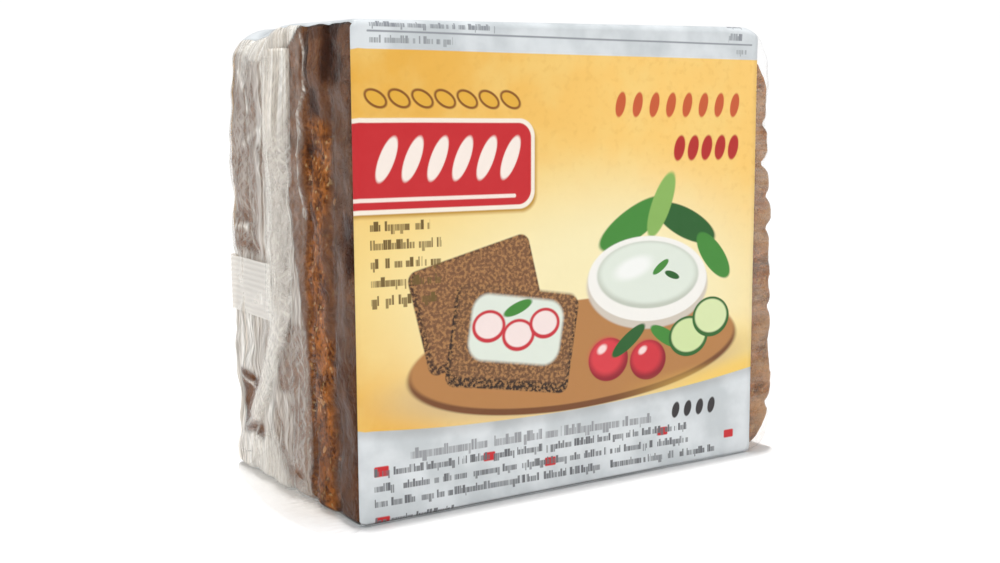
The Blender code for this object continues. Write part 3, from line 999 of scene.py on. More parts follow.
# %% Clear film at both ends
def end_film(at_left):
    """The clear film over one end, out to the edge of the printed band."""
    if at_left:
        xs = even(0.0, LEFT_FILM_TO, 3)
    else:
        xs = even(BAND_WIDTH, PACK_WIDTH, 9)
    ys = even(0.0, PACK_DEPTH, round(PACK_DEPTH / END_CELL) + 1)
    zs = even(0.0, PACK_HEIGHT, round(PACK_HEIGHT / END_CELL) + 1)
    mesh = cut_cube(xs, ys, zs)
    inner = xs[-1] if at_left else xs[0]
    delete_where(mesh, lambda middle: abs(middle.x - inner) < END_CELL / 20.0)
    haze, streaks = film_layers(mesh)
    for vert in mesh.verts:
        x, y, z = vert.co
        vert[haze] = left_haze(y, z) if at_left else right_haze(y, z)
        vert[streaks] = 1.0 if at_left or y > PLAIN_FILM_TO else 0.0
        if not at_left:
            edge = band_edge(y, z)
            vert.co.x = edge + (x - BAND_WIDTH) * (PACK_WIDTH - edge) / (PACK_WIDTH - BAND_WIDTH)
        vert.co = film_point(vert.co, left_crease if at_left else no_extra)
    name = "end_film_left" if at_left else "end_film_right"
    place_piece(name, mesh, clear_film, FILM_THICKNESS)


end_film(at_left=True)
end_film(at_left=False)

# %% [markdown]
# ## The crimped fins
#
# The film tube is welded shut at both ends between ribbed jaws, and the welded fin is folded flat.
# It shows as an upright band of several layers with fine ridges along it, and at its foot it
# swings to the back, where a narrow white band marks it at the left end. Three thin ridged sheets
# lie one over the other, each a little narrower.

# %% Sizes of the fins
FIN_WIDTH = 12.0 * MM
FIN_FOOT_WIDTH = 7.0 * MM
FIN_PROUD = 1.3 * MM
FIN_TOP = 85.5 * MM
FIN_FOOT = 4.0 * MM
FIN_MIDDLE = 30.5 * MM
FIN_BEND_HEIGHT = 42.0 * MM
FIN_FOOT_SWING = 23.0 * MM
FIN_BEND_POWER = 1.6
FIN_RIPPLE = 0.4 * MM
FIN_RIPPLE_LENGTH = 31.0 * MM
FIN_RIDGE = 0.13 * MM
FIN_RIDGE_PITCH = 1.25 * MM
FIN_RIDGE_LEFT_IN_FOOT = 0.3
FIN_FOLD = 0.9 * MM
FIN_WOBBLE = 0.12 * MM
FIN_WOBBLE_ACROSS = 3.0 * MM
FIN_WOBBLE_ALONG = 12.0 * MM
FIN_WOBBLE_LAYER = 9.0
FIN_HAZE_WOBBLE = 0.35
FIN_STREAKS_LOST = 0.7
FOOT_BAND_HAZE = 0.5
FIN_SWING_START = 12.0 * MM
FIN_CRUMPLED_BELOW = 74.0 * MM
FIN_CRUMPLED_OVER = 10.0 * MM
CRUMPLED_CLEARER = 0.52
FOOT_BAND = ((27.3, 37.5), (33.2, 28.0), (37.6, 20.5), (42.0, 14.0))
FOOT_BAND_HALF = 2.5
FIN_GRID = {"x_segments": 44, "y_segments": 150}
FIN_LAYERS = (
    # share of the height over the end, set back at the fold, set back at the free edge, haze
    (0.35, 0.0, 0.0, 0.50),
    (0.68, 0.5, 1.9, 0.55),
    (1.00, 1.1, 4.1, 0.62),
)
print("a fin has", len(FIN_LAYERS), "sheets")


# %% The fin's path and ridges
def fin_place(breadth, height, outward, at_left):
    """A place on the folded fin: breadth across it, height up the end, outward from the end."""
    below = max(FIN_BEND_HEIGHT - height, 0.0) / FIN_BEND_HEIGHT
    middle = FIN_MIDDLE + FIN_FOOT_SWING * below ** FIN_BEND_POWER
    narrowing = 1.0 + (FIN_FOOT_WIDTH / FIN_WIDTH - 1.0) * smooth_step(below)
    x = -outward if at_left else PACK_WIDTH + right_spread(height) + outward
    return Vector((x, middle + breadth * narrowing, height))


def foot_band(place):
    """1 in the white band that the fin's foot shows, and 0 beside it."""
    y, z = place.y / MM, place.z / MM
    off = min(off_line(y, z, (*start, *end)) for start, end in zip(FOOT_BAND, FOOT_BAND[1:]))
    return math.exp(-(off / FOOT_BAND_HALF) ** 4)


def fin_wobble(share, breadth, height):
    """Slow waves of a fin's sheet, as noise."""
    across, along = breadth / FIN_WOBBLE_ACROSS, height / FIN_WOBBLE_ALONG
    return noise.noise(Vector((share * FIN_WOBBLE_LAYER, across, along)))


def fin_outward(share, breadth, height, low, wobble, swung):
    """How far a sheet of the fin stands out from the end."""
    rise = smooth_step((breadth - low) / FIN_FOLD) ** 0.5
    outward = FIN_PROUD * share * rise + FIN_WOBBLE * wobble
    outward += FIN_RIPPLE * share * math.sin(2.0 * math.pi * height / FIN_RIPPLE_LENGTH)
    ridge = FIN_RIDGE * (1.0 - (1.0 - FIN_RIDGE_LEFT_IN_FOOT) * swung)
    return outward + ridge * rise * math.cos(2.0 * math.pi * breadth / FIN_RIDGE_PITCH)


foot = fin_place(0.0, FIN_FOOT, 0.0, True)
print("the fin's foot swings to a depth of", round(foot.y / MM, 1), "mm")


# %% End fins
def end_fin(at_left):
    """The fin of one end, as three ridged sheets."""
    mesh = bmesh.new()
    haze, streaks = film_layers(mesh)
    for share, fold_back, edge_back, milk in FIN_LAYERS:
        made = bmesh.ops.create_grid(mesh, **FIN_GRID, size=0.5)["verts"]
        low = -FIN_WIDTH / 2.0 + fold_back * MM
        high = FIN_WIDTH / 2.0 - edge_back * MM
        for vert in made:
            breadth = low + (high - low) * (vert.co.x + 0.5)
            height = FIN_FOOT + (FIN_TOP - FIN_FOOT) * (vert.co.y + 0.5)
            wobble = fin_wobble(share, breadth, height)
            swung = smooth_step((FIN_BEND_HEIGHT - height) / FIN_SWING_START)
            outward = fin_outward(share, breadth, height, low, wobble, swung)
            vert.co = fin_place(breadth, height, outward, at_left)
            crumpled = smooth_step((FIN_CRUMPLED_BELOW - height) / FIN_CRUMPLED_OVER)
            wobbly_milk = milk + FIN_HAZE_WOBBLE * wobble
            upright = wobbly_milk * (1.0 - swung) * (1.0 - CRUMPLED_CLEARER * crumpled)
            in_foot = FOOT_BAND_HAZE * foot_band(vert.co) if at_left else wobbly_milk
            vert[haze] = min(max(upright + in_foot * swung, 0.0), 1.0)
            vert[streaks] = 1.0 - FIN_STREAKS_LOST * crumpled
    name = "end_fin_left" if at_left else "end_fin_right"
    place_piece(name, mesh, clear_film, FILM_THICKNESS)


end_fin(at_left=True)
end_fin(at_left=False)

# %% [markdown]
# ## Gusset flaps
#
# Above and below the fin, the film of the narrow sides is tucked in like the ends of a parcel.
# Each flap is a four-cornered sheet that follows the end film and stands a little off it.

# %% Flaps above and below the fins
FLAP_LIFT = 0.45 * MM
RIGHT_FLAP_SHARE = 0.35
FLAPS = (
    # four corners as depth and height in mm, then haze
    ((20.5, 89.4), (50.5, 87.5), (40.0, 82.0), (26.0, 85.0), 0.70),
    ((30.0, 89.4), (50.0, 88.4), (49.5, 78.0), (37.0, 84.0), 0.35),
    ((26.0, 0.8), (47.0, 1.0), (46.0, 7.5), (33.5, 12.0), 0.55),
)
FLAP_GRID = {"x_segments": 60, "y_segments": 24}
FLAP_SHOWN_ACROSS, FLAP_SHOWN_DOWN = (0.05, 0.95, 0.2), (-0.5, 0.92, 0.3)
FLAP_RIDGE = 0.15 * MM
FLAP_RIDGE_BREADTH, FLAP_RIDGE_LENGTH, FLAP_RIDGE_LAYER = 1.6 * MM, 8.0 * MM, 5.0
FLAP_GRAIN_BREADTH, FLAP_GRAIN_LENGTH, FLAP_GRAIN_LAYER = 2.0 * MM, 6.0 * MM, 9.0
FLAP_GRAIN_MIDDLE, FLAP_GRAIN_SWING = 0.75, 0.4


def flap_lift(y, z, at_left):
    """How far a flap stands off the end film, with fine ridges."""
    place = Vector((y / FLAP_RIDGE_BREADTH, z / FLAP_RIDGE_LENGTH, FLAP_RIDGE_LAYER))
    return FLAP_LIFT + FLAP_RIDGE * noise.noise(place)


def flap_grain(y, z):
    """The fine unevenness of a flap's haze."""
    place = Vector((y / FLAP_GRAIN_BREADTH, z / FLAP_GRAIN_LENGTH, FLAP_GRAIN_LAYER))
    return FLAP_GRAIN_MIDDLE + FLAP_GRAIN_SWING * noise.noise(place)


def gusset_flaps(at_left):
    """The flaps of one end."""
    mesh = bmesh.new()
    haze, streaks = film_layers(mesh)
    for *corners, milk in FLAPS:
        made = bmesh.ops.create_grid(mesh, **FLAP_GRID, size=0.5)["verts"]
        a, b, c, d = [Vector(corner) * MM for corner in corners]
        for vert in made:
            across, down = vert.co.x + 0.5, vert.co.y + 0.5
            y, z = a.lerp(b, across).lerp(d.lerp(c, across), down)
            inside = window(across, *FLAP_SHOWN_ACROSS) * window(down, *FLAP_SHOWN_DOWN)
            milkiness = milk if at_left else milk * RIGHT_FLAP_SHARE
            vert[haze] = milkiness * inside * flap_grain(y, z)
            vert[streaks] = 1.0
            x = 0.0 if at_left else PACK_WIDTH
            vert.co = film_point(Vector((x, y, z)), flap_lift)
    name = "gusset_flaps_left" if at_left else "gusset_flaps_right"
    place_piece(name, mesh, clear_film, FILM_THICKNESS)


gusset_flaps(at_left=True)
gusset_flaps(at_left=False)

# %% [markdown]
# ## The back seam
#
# The flat film is made into a tube by one long ribbed seam. It runs across the back and is wrapped
# round on to both ends, where its ribs show as a small striped patch of even, milky film. It is a
# cut box again, kept only as a U-shaped wall, whose corners become arcs and whose wall is ribbed
# along its length.

# %% Back seam
SEAM_BOTTOM = 33.0 * MM
SEAM_WIDTH = 11.2 * MM
SEAM_PROUD = 0.6 * MM
SEAM_END_REACH = 20.5 * MM
SEAM_ROUND = 1.6 * MM
SEAM_RIB = 0.06 * MM
SEAM_RIB_PITCH = 1.12 * MM
SEAM_HAZE = 0.74
SEAM_RIB_HAZE = 0.09
SEAM_STREAKS = -1.0
SEAM_CORNER = 3.0 * MM
SEAM_WAVE = 0.2 * MM
SEAM_WAVE_ALONG, SEAM_WAVE_UP = 20.0 * MM, 30.0 * MM


def back_seam():
    """The ribbed seam across the back and round both corners."""
    left, right = -SEAM_PROUD, PACK_WIDTH + right_spread(SEAM_BOTTOM) + SEAM_PROUD
    back = PACK_DEPTH + SEAM_PROUD
    front = back - SEAM_END_REACH - SEAM_PROUD
    corner = even(0.0, SEAM_ROUND, 6)
    xs = [left + c for c in corner] + even(left + SEAM_CORNER, right - SEAM_CORNER, 70)
    xs += [right - c for c in reversed(corner)]
    ys = even(front, back - SEAM_CORNER, 24) + [back - c for c in reversed(corner)]
    zs = even(SEAM_BOTTOM, SEAM_BOTTOM + SEAM_WIDTH, 73)
    mesh = cut_cube(xs, ys, zs)
    bmesh.ops.recalc_face_normals(mesh, faces=mesh.faces[:])
    delete_where(mesh, lambda middle: middle.y < front + FILM_THICKNESS)
    delete_where(mesh, lambda middle: middle.z < zs[0] + FILM_THICKNESS / 4.0)
    delete_where(mesh, lambda middle: middle.z > zs[-1] - FILM_THICKNESS / 4.0)
    haze, streaks = film_layers(mesh)
    for vert in mesh.verts:
        x, y, z = vert.co
        at_left = x < PACK_WIDTH / 2.0
        in_x = x - left if at_left else right - x
        in_y = back - y
        outward = Vector((1.0, 0.0)) if in_x < in_y else Vector((0.0, 1.0))
        in_x, in_y, turned = ring_to_arc(in_x, in_y, SEAM_ROUND)
        outward = turned or outward
        rib = SEAM_RIB * (0.5 - 0.5 * math.cos(2.0 * math.pi * (z - zs[0]) / SEAM_RIB_PITCH))
        place = Vector((x / SEAM_WAVE_ALONG, y / SEAM_WAVE_ALONG, z / SEAM_WAVE_UP))
        sink = rib + abs(SEAM_WAVE * noise.noise(place))
        in_x += sink * outward.x
        in_y += sink * outward.y
        vert[haze] = SEAM_HAZE - SEAM_RIB_HAZE * rib / SEAM_RIB
        vert[streaks] = SEAM_STREAKS
        vert.co = Vector((left + in_x if at_left else right - in_x, back - in_y, z))
    place_piece("back_seam", mesh, clear_film, FILM_THICKNESS)


back_seam()

# %% [markdown]
# ## The ear on the table
#
# At the left end the lower gusset bulges out and its film spreads on the table as a thin ear. Two
# sheets meet at its outer edge: one flat on the table and one that rises like a tent to the end.
# The ear is clearest at its front and grows milky towards the back and the pack.

# %% Floor ear
EAR_BACK = 53.0 * MM
EAR_WIDEST = 15.0 * MM
EAR_ROOT = 2.5 * MM
EAR_TIP_SHIFT = 5.2 * MM
EAR_FRONT_TIP = 3.4 * MM
EAR_BACK_TIP = 0.4 * MM
EAR_POWER = 2.2
EAR_BACK_POWER = 1.4
EAR_LIFT = 0.3 * MM
EAR_RIM = 0.5 * MM
EAR_TENT_HEIGHT = 13.0 * MM
EAR_TENT_MIDDLE = 35.0 * MM
EAR_TENT_HALF = 17.5 * MM
EAR_TENT_SLOPE = 1.4
EAR_WRINKLE = 0.35 * MM
EAR_WRINKLE_ACROSS, EAR_WRINKLE_ALONG, EAR_WRINKLE_LAYER = 4.0 * MM, 2.2 * MM, 1.0
EAR_WRINKLE_FADE = 4
EAR_ROOT_HAZE = 0.34
EAR_EDGE_HAZE = 0.05
EAR_STREAKS = -0.7
EAR_CLEAR_TO = 16.0 * MM
EAR_GRID = {"x_segments": 26, "y_segments": 120}


def ear_place(share, y, on_top):
    """A place on the ear: share 0 at the pack and 1 at the outer edge, y along the pack."""
    span = EAR_BACK - EAR_WIDEST if y > EAR_WIDEST else EAR_WIDEST - EAR_FRONT
    off_middle = min(abs(y - EAR_WIDEST) / span, 1.0)
    tip = EAR_BACK_TIP if y > EAR_WIDEST else EAR_FRONT_TIP
    power = EAR_BACK_POWER if y > EAR_WIDEST else EAR_POWER
    reach = tip + (EAR_REACH - tip) * (1.0 - off_middle ** power) ** (1.0 / power)
    root = EAR_ROOT - EAR_TIP_SHIFT * smooth_step(y / EAR_FRONT)
    x = root - (root + reach) * share
    if not on_top:
        return Vector((x, y, EAR_LIFT))
    off_tent = min(abs(y - EAR_TENT_MIDDLE) / EAR_TENT_HALF, 1.0)
    tent = EAR_TENT_HEIGHT * (0.5 + 0.5 * math.cos(math.pi * off_tent))
    crumple = noise.noise(
        Vector((x / EAR_WRINKLE_ACROSS, y / EAR_WRINKLE_ALONG, EAR_WRINKLE_LAYER))
    )
    wrinkle = EAR_WRINKLE * abs(crumple) * (1.0 - share ** EAR_WRINKLE_FADE)
    rise = EAR_RIM * (1.0 - share) + tent * (1.0 - share) ** EAR_TENT_SLOPE
    return Vector((x, y, EAR_LIFT + rise + wrinkle))


def floor_ear():
    """The two sheets of the ear."""
    mesh = bmesh.new()
    haze, streaks = film_layers(mesh)
    for on_top in (True, False):
        made = bmesh.ops.create_grid(mesh, **EAR_GRID, size=0.5)["verts"]
        for vert in made:
            share = vert.co.x + 0.5
            y = EAR_FRONT + (EAR_BACK - EAR_FRONT) * (vert.co.y + 0.5)
            milk = EAR_EDGE_HAZE + (EAR_ROOT_HAZE - EAR_EDGE_HAZE) * (1.0 - share)
            vert[haze] = milk * smooth_step(y / EAR_CLEAR_TO)
            vert[streaks] = EAR_STREAKS
            vert.co = ear_place(share, y, on_top)
    place_piece("floor_ear", mesh, clear_film, FILM_THICKNESS)


floor_ear()

# %% [markdown]
# ## The marks of the print
#
# The print is drawn by the material itself, from the band's own map, whose first number runs along
# the pack and whose second runs round it, both in units of 100 mm. Two node groups give soft masks
# for its marks: a box with rounded corners and an oval, each with a centre, a half size and a turn.

# %% Groups for boxes and ovals
MARK_INPUTS = {
    "Place": "Vector",
    "Centre": "Vector",
    "Half": "Vector",
    "Angle": "Float",
    "Round": "Float",
    "Soft": "Float",
}


def vectors(tree, operation, *inputs):
    """A Vector Math node's vector."""
    made = put(tree, "ShaderNodeVectorMath", dict(enumerate(inputs)), operation=operation)
    return made.outputs[0]


def length_of(tree, vector):
    """The length of a vector."""
    return put(tree, "ShaderNodeVectorMath", {0: vector}, operation="LENGTH").outputs["Value"]


def turned_place(group, enter):
    """The place, turned about the mark's centre and measured from it."""
    inputs = {"Vector": enter["Place"], "Center": enter["Centre"], "Angle": enter["Angle"]}
    turned = put(group, "ShaderNodeVectorRotate", inputs, rotation_type="Z_AXIS").outputs[0]
    return vectors(group, "SUBTRACT", turned, enter["Centre"])


def box_group():
    """A box with rounded corners."""
    group, enter, leave = new_group("print_box", MARK_INPUTS, {"Mask": "Float"})
    corner = {0: enter["Round"], 1: enter["Round"]}
    inner = put(group, "ShaderNodeCombineXYZ", corner).outputs[0]
    inner = vectors(group, "SUBTRACT", enter["Half"], inner)
    over = vectors(group, "SUBTRACT", vectors(group, "ABSOLUTE", turned_place(group, enter)), inner)
    over = vectors(group, "MAXIMUM", over, (0.0, 0.0, 0.0))
    off = sums(group, "SUBTRACT", length_of(group, over), enter["Round"])
    edge = times(group, enter["Soft"], -1.0)
    group.links.new(ramp(group, off, edge, enter["Soft"], 1.0, 0.0), leave["Mask"])
    return group


def oval_group():
    """An oval. Its softness is a share of its size."""
    group, enter, leave = new_group("print_oval", MARK_INPUTS, {"Mask": "Float"})
    share = vectors(group, "DIVIDE", turned_place(group, enter), enter["Half"])
    low = sums(group, "SUBTRACT", 1.0, enter["Soft"])
    high = sums(group, "ADD", 1.0, enter["Soft"])
    group.links.new(ramp(group, length_of(group, share), low, high, 1.0, 0.0), leave["Mask"])
    return group


print_box, print_oval = box_group(), oval_group()
print("mark groups:", len(print_box.nodes), "and", len(print_oval.nodes), "nodes")

# %% [markdown]
# ## Small print without letters
#
# Small print is rows of short upright bars. Noise stretches the bars a little along each row, and
# a random number for each bar leaves some out as gaps between words and lifts or lowers a few, so
# that a row reads as print from a distance and holds no letter. Each row stops at its own place.

# %% Group for rows of bars
ROW_INPUTS = (
    "Start", "End", "Row", "Row pitch", "Rows", "Half height", "Pitch", "Gaps", "Ragged", "Seed"
)
ROW_SEED_STEP, BAR_SEED_STEP = 7.31, 0.173
DRIFT_SCALE, DRIFT = 0.9, 1.6
TALL_ABOVE, LOW_SHARE, LOW_DRAW = 0.72, 0.14, 9.0
SHORT_BAR, LEAN_SHARE = 0.6, 0.35
BAR_HALF, BAR_EDGE_END, GAP_INK, PALEST_BAR = 0.26, 0.50, 0.25, 0.65
ROW_EDGE = 0.14


def chance_of(group, seed):
    """A random number between 0 and 1 for a seed."""
    made = put(group, "ShaderNodeTexWhiteNoise", {"W": seed}, noise_dimensions="1D")
    return made.outputs["Value"]


def drifting_bars(group, along, row_seed):
    """The place along a row, counted in bars of uneven breadth."""
    inputs = {"W": sums(group, "ADD", along, row_seed), "Scale": DRIFT_SCALE, "Detail": 0.0}
    drift = put(group, "ShaderNodeTexNoise", inputs, noise_dimensions="1D").outputs["Fac"]
    return sums(group, "MULTIPLY_ADD", drift, DRIFT, along)


def bar_height(group, off_row, half_height, chance):
    """1 in a bar's height and 0 above and below: some bars reach up and a few reach down."""
    rising = sums(group, "GREATER_THAN", chance, TALL_ABOVE)
    second_draw = sums(group, "FRACT", times(group, chance, LOW_DRAW))
    falling = sums(group, "LESS_THAN", second_draw, LOW_SHARE)
    lean = times(group, sums(group, "SUBTRACT", rising, falling), half_height)
    off_bar = sums(group, "ABSOLUTE", sums(group, "MULTIPLY_ADD", lean, -LEAN_SHARE, off_row))
    tall = times(group, sums(group, "ABSOLUTE", lean), LEAN_SHARE)
    tall = sums(group, "MULTIPLY_ADD", half_height, SHORT_BAR, tall)
    return ramp(group, off_bar, tall, sums(group, "ADD", tall, ROW_EDGE), 1.0, 0.0)


def rows_group():
    """Rows of short upright bars with gaps, which stand for small print."""
    inputs = {"Place": "Vector", **{name: "Float" for name in ROW_INPUTS}}
    group, enter, leave = new_group("print_rows", inputs, {"Mask": "Float"})
    parts = put(group, "ShaderNodeSeparateXYZ", {0: enter["Place"]}).outputs
    steps = sums(group, "SUBTRACT", parts[1], enter["Row"])
    steps = sums(group, "DIVIDE", steps, enter["Row pitch"])
    last = sums(group, "SUBTRACT", enter["Rows"], 1.0)
    row = sums(group, "MAXIMUM", sums(group, "ROUND", steps), 0.0)
    row = sums(group, "MINIMUM", row, last)
    off_row = times(group, sums(group, "SUBTRACT", steps, row), enter["Row pitch"])
    row_seed = sums(group, "MULTIPLY_ADD", row, ROW_SEED_STEP, enter["Seed"])
    along = sums(group, "DIVIDE", parts[0], enter["Pitch"])
    along = drifting_bars(group, along, row_seed)
    bar_seed = times(group, sums(group, "FLOOR", along), BAR_SEED_STEP)
    chance = chance_of(group, sums(group, "ADD", bar_seed, row_seed))
    off_bar = sums(group, "ABSOLUTE", sums(group, "SUBTRACT", sums(group, "FRACT", along), 0.5))
    bar = ramp(group, off_bar, BAR_HALF, BAR_EDGE_END, 1.0, GAP_INK)
    inked = times(group, bar, ramp(group, chance, 0.0, 1.0, PALEST_BAR, 1.0))
    shown = sums(group, "GREATER_THAN", chance, enter["Gaps"])
    in_row = bar_height(group, off_row, enter["Half height"], chance)
    stop = times(group, enter["Ragged"], chance_of(group, row_seed))
    stop = sums(group, "SUBTRACT", enter["End"], stop)
    started = sums(group, "GREATER_THAN", parts[0], enter["Start"])
    within = times(group, started, sums(group, "LESS_THAN", parts[0], stop))
    mask = times(group, times(group, inked, shown), times(group, in_row, within))
    group.links.new(mask, leave["Mask"])
    return group


print_rows = rows_group()
print("rows group:", len(print_rows.nodes), "nodes")

# %% [markdown]
# ## The layout of the print
#
# Every mark is one line of a list: its kind, its middle, its half size, its turn in degrees, its
# corner radius, its softness and its colour, in millimetres on the front. The list is painted from
# first to last. The front has a golden field between two silver ones, a red ribbon with a row of
# kernels, and a laid table: slices of rye bread with curd and radish on a board, tomatoes,
# cucumber, leaves and a bowl of curd.

# %% Marks, from bottom to top
BREAD_PRINT, CRUST_PRINT = (112, 76, 48), (70, 42, 24)
CURD = (230, 238, 226)
RED, DEEP_RED, RADISH = (204, 34, 41), (186, 40, 34), (205, 44, 56)
LEAF, DARK_LEAF, PALE_LEAF = (66, 140, 52), (34, 96, 36), (140, 184, 92)
ORANGE_RED = (206, 92, 48)
STILL_LIFE = (
    # kind, middle, half size, turn, round, soft, colour
    ("oval", (24.0, 45.0), (44.0, 17.0), 0, 0, 0.90, (252, 224, 146)),
    ("oval", (57.0, 36.0), (42.0, 23.0), 0, 0, 0.50, (253, 240, 190)),
    ("oval", (84.0, 22.0), (24.0, 8.0), -12, 0, 0.60, (255, 228, 140)),
    ("oval", (50.0, 23.5), (41.0, 7.0), 2, 0, 0.30, (214, 186, 138)),
    ("oval", (50.0, 27.0), (39.5, 10.5), 2, 0, 0.02, (120, 72, 36)),
    ("oval", (50.0, 28.0), (39.0, 10.2), 2, 0, 0.02, (186, 130, 74)),
    ("oval", (62.0, 52.5), (9.5, 3.2), 28, 0, 0.06, LEAF),
    ("oval", (75.5, 52.0), (8.5, 3.0), -24, 0, 0.06, DARK_LEAF),
    ("oval", (69.0, 56.0), (7.0, 2.4), 66, 0, 0.08, PALE_LEAF),
    ("oval", (83.0, 45.0), (6.2, 2.6), -48, 0, 0.06, LEAF),
    ("crumb", (26.0, 39.0), (13.5, 10.0), 14, 2.0, 0.2, CRUST_PRINT),
    ("crumb", (26.3, 39.8), (12.7, 9.0), 14, 1.6, 0.5, (122, 82, 52)),
    ("crumb", (33.5, 31.5), (14.0, 9.6), -9, 2.0, 0.2, (44, 26, 14)),
    ("crumb", (33.8, 32.6), (13.3, 8.8), -9, 1.8, 0.5, BREAD_PRINT),
    ("box", (34.2, 33.4), (10.4, 6.3), -9, 3.6, 0.5, CURD),
    ("oval", (28.0, 34.6), (3.7, 3.1), 0, 0, 0.06, RADISH),
    ("oval", (28.0, 34.7), (3.0, 2.4), 0, 0, 0.08, (250, 232, 228)),
    ("oval", (34.6, 32.4), (3.7, 3.1), 0, 0, 0.06, RADISH),
    ("oval", (34.6, 32.5), (3.0, 2.4), 0, 0, 0.08, (250, 232, 228)),
    ("oval", (40.6, 34.2), (3.5, 3.0), 0, 0, 0.06, RADISH),
    ("oval", (40.6, 34.3), (2.8, 2.3), 0, 0, 0.08, (250, 232, 228)),
    ("oval", (34.5, 37.6), (3.4, 1.1), 20, 0, 0.12, LEAF),
    ("oval", (66.0, 40.0), (15.5, 9.0), -3, 0, 0.03, (214, 204, 190)),
    ("oval", (66.0, 41.2), (15.2, 8.6), -3, 0, 0.02, (250, 248, 242)),
    ("oval", (66.0, 42.0), (13.0, 6.8), -3, 0, 0.03, (198, 204, 190)),
    ("oval", (66.0, 42.4), (12.4, 6.2), -3, 0, 0.10, CURD),
    ("oval", (62.0, 43.6), (4.6, 2.0), 14, 0, 0.40, (250, 252, 248)),
    ("oval", (69.0, 43.4), (2.4, 0.8), 34, 0, 0.10, LEAF),
    ("oval", (72.0, 41.6), (2.0, 0.7), -20, 0, 0.10, DARK_LEAF),
    ("oval", (56.0, 25.6), (4.9, 4.4), 0, 0, 0.04, (150, 24, 40)),
    ("oval", (55.6, 26.2), (4.2, 3.7), 0, 0, 0.25, (222, 60, 70)),
    ("oval", (54.4, 27.8), (1.2, 0.8), 30, 0, 0.40, (255, 224, 220)),
    ("oval", (66.0, 24.6), (4.6, 4.1), 0, 0, 0.04, (146, 22, 38)),
    ("oval", (65.6, 25.2), (3.9, 3.4), 0, 0, 0.25, (214, 50, 62)),
    ("oval", (64.6, 26.7), (1.1, 0.7), 30, 0, 0.40, (255, 224, 220)),
    ("oval", (61.0, 29.0), (5.0, 1.5), 36, 0, 0.08, DARK_LEAF),
    ("oval", (70.6, 29.0), (4.6, 1.5), -30, 0, 0.08, LEAF),
    ("oval", (76.5, 28.6), (5.2, 4.2), 0, 0, 0.03, (46, 104, 40)),
    ("oval", (76.5, 28.8), (4.5, 3.5), 0, 0, 0.06, (214, 232, 170)),
    ("oval", (82.5, 32.2), (5.0, 4.2), 0, 0, 0.03, (46, 104, 40)),
    ("oval", (82.5, 32.4), (4.3, 3.5), 0, 0, 0.06, (222, 236, 180)),
)
RIBBON = (
    ("box", (17.0, 64.2), (21.8, 8.4), 0, 3.4, 0.5, (196, 150, 60)),
    ("box", (16.6, 64.8), (21.8, 8.4), 0, 3.4, 0.15, (253, 242, 226)),
    ("box", (16.6, 64.8), (21.0, 7.6), 0, 2.8, 0.15, RED),
    ("box", (16.6, 58.9), (17.6, 0.35), 0, 0.3, 0.15, (253, 236, 226)),
) + tuple(
    ("oval", (along, 66.0), (1.5, 4.3), -24, 0, 0.10, (253, 240, 230))
    for along in even(7.0, 33.0, 6)
) + tuple(
    ("oval", (along, 76.6), half, 62, 0, 0.10, shade)
    for along in even(5.0, 33.0, 7)
    for half, shade in (((1.5, 2.5), (140, 84, 26)), ((1.05, 2.0), (234, 178, 62)))
)
SMALL_PRINT = (
    # start, end, first row, row pitch, rows, half height, bar pitch, gaps, ragged, seed, colour
    (3.5, 18.0, 40.8, 3.3, 5, 0.85, 0.62, 0.22, 3.0, 11.0, (112, 88, 40)),
    (11.0, 67.0, 12.1, 9.0, 1, 1.0, 0.70, 0.16, 0.0, 17.0, (150, 152, 156)),
    (3.5, 90.5, 3.9, 2.8, 3, 0.72, 0.56, 0.18, 26.0, 23.0, (104, 106, 110)),
    (3.5, 20.0, 0.6, 2.8, 1, 0.72, 0.56, 0.16, 0.0, 29.0, (112, 114, 118)),
    (4.0, 44.0, 89.3, 2.9, 17, 0.62, 0.52, 0.16, 26.0, 31.0, (142, 146, 152)),
    (86.0, 91.0, 89.3, 2.9, 17, 0.62, 0.60, 0.10, 1.4, 37.0, (142, 146, 152)),
    (4.0, 22.0, 86.6, 2.9, 1, 0.62, 0.52, 0.16, 4.0, 41.0, (150, 154, 158)),
    (88.0, 91.0, 86.6, 2.9, 1, 0.62, 0.60, 0.10, 0.0, 43.0, (150, 154, 158)),
    (10.0, 84.0, 163.0, 3.0, 14, 0.75, 0.60, 0.17, 30.0, 47.0, (120, 92, 44)),
    (8.0, 86.0, 243.0, 2.8, 13, 0.70, 0.56, 0.17, 34.0, 53.0, (126, 130, 134)),
)
KERNEL_ROWS = (
    # first and last place along, height, count, half size, colour
    (58.5, 88.0, 75.8, 8, (1.15, 2.5), ORANGE_RED),
    (73.5, 87.8, 67.2, 5, (1.35, 2.6), DEEP_RED),
    (73.4, 83.0, 13.4, 4, (0.95, 1.7), (52, 48, 50)),
)
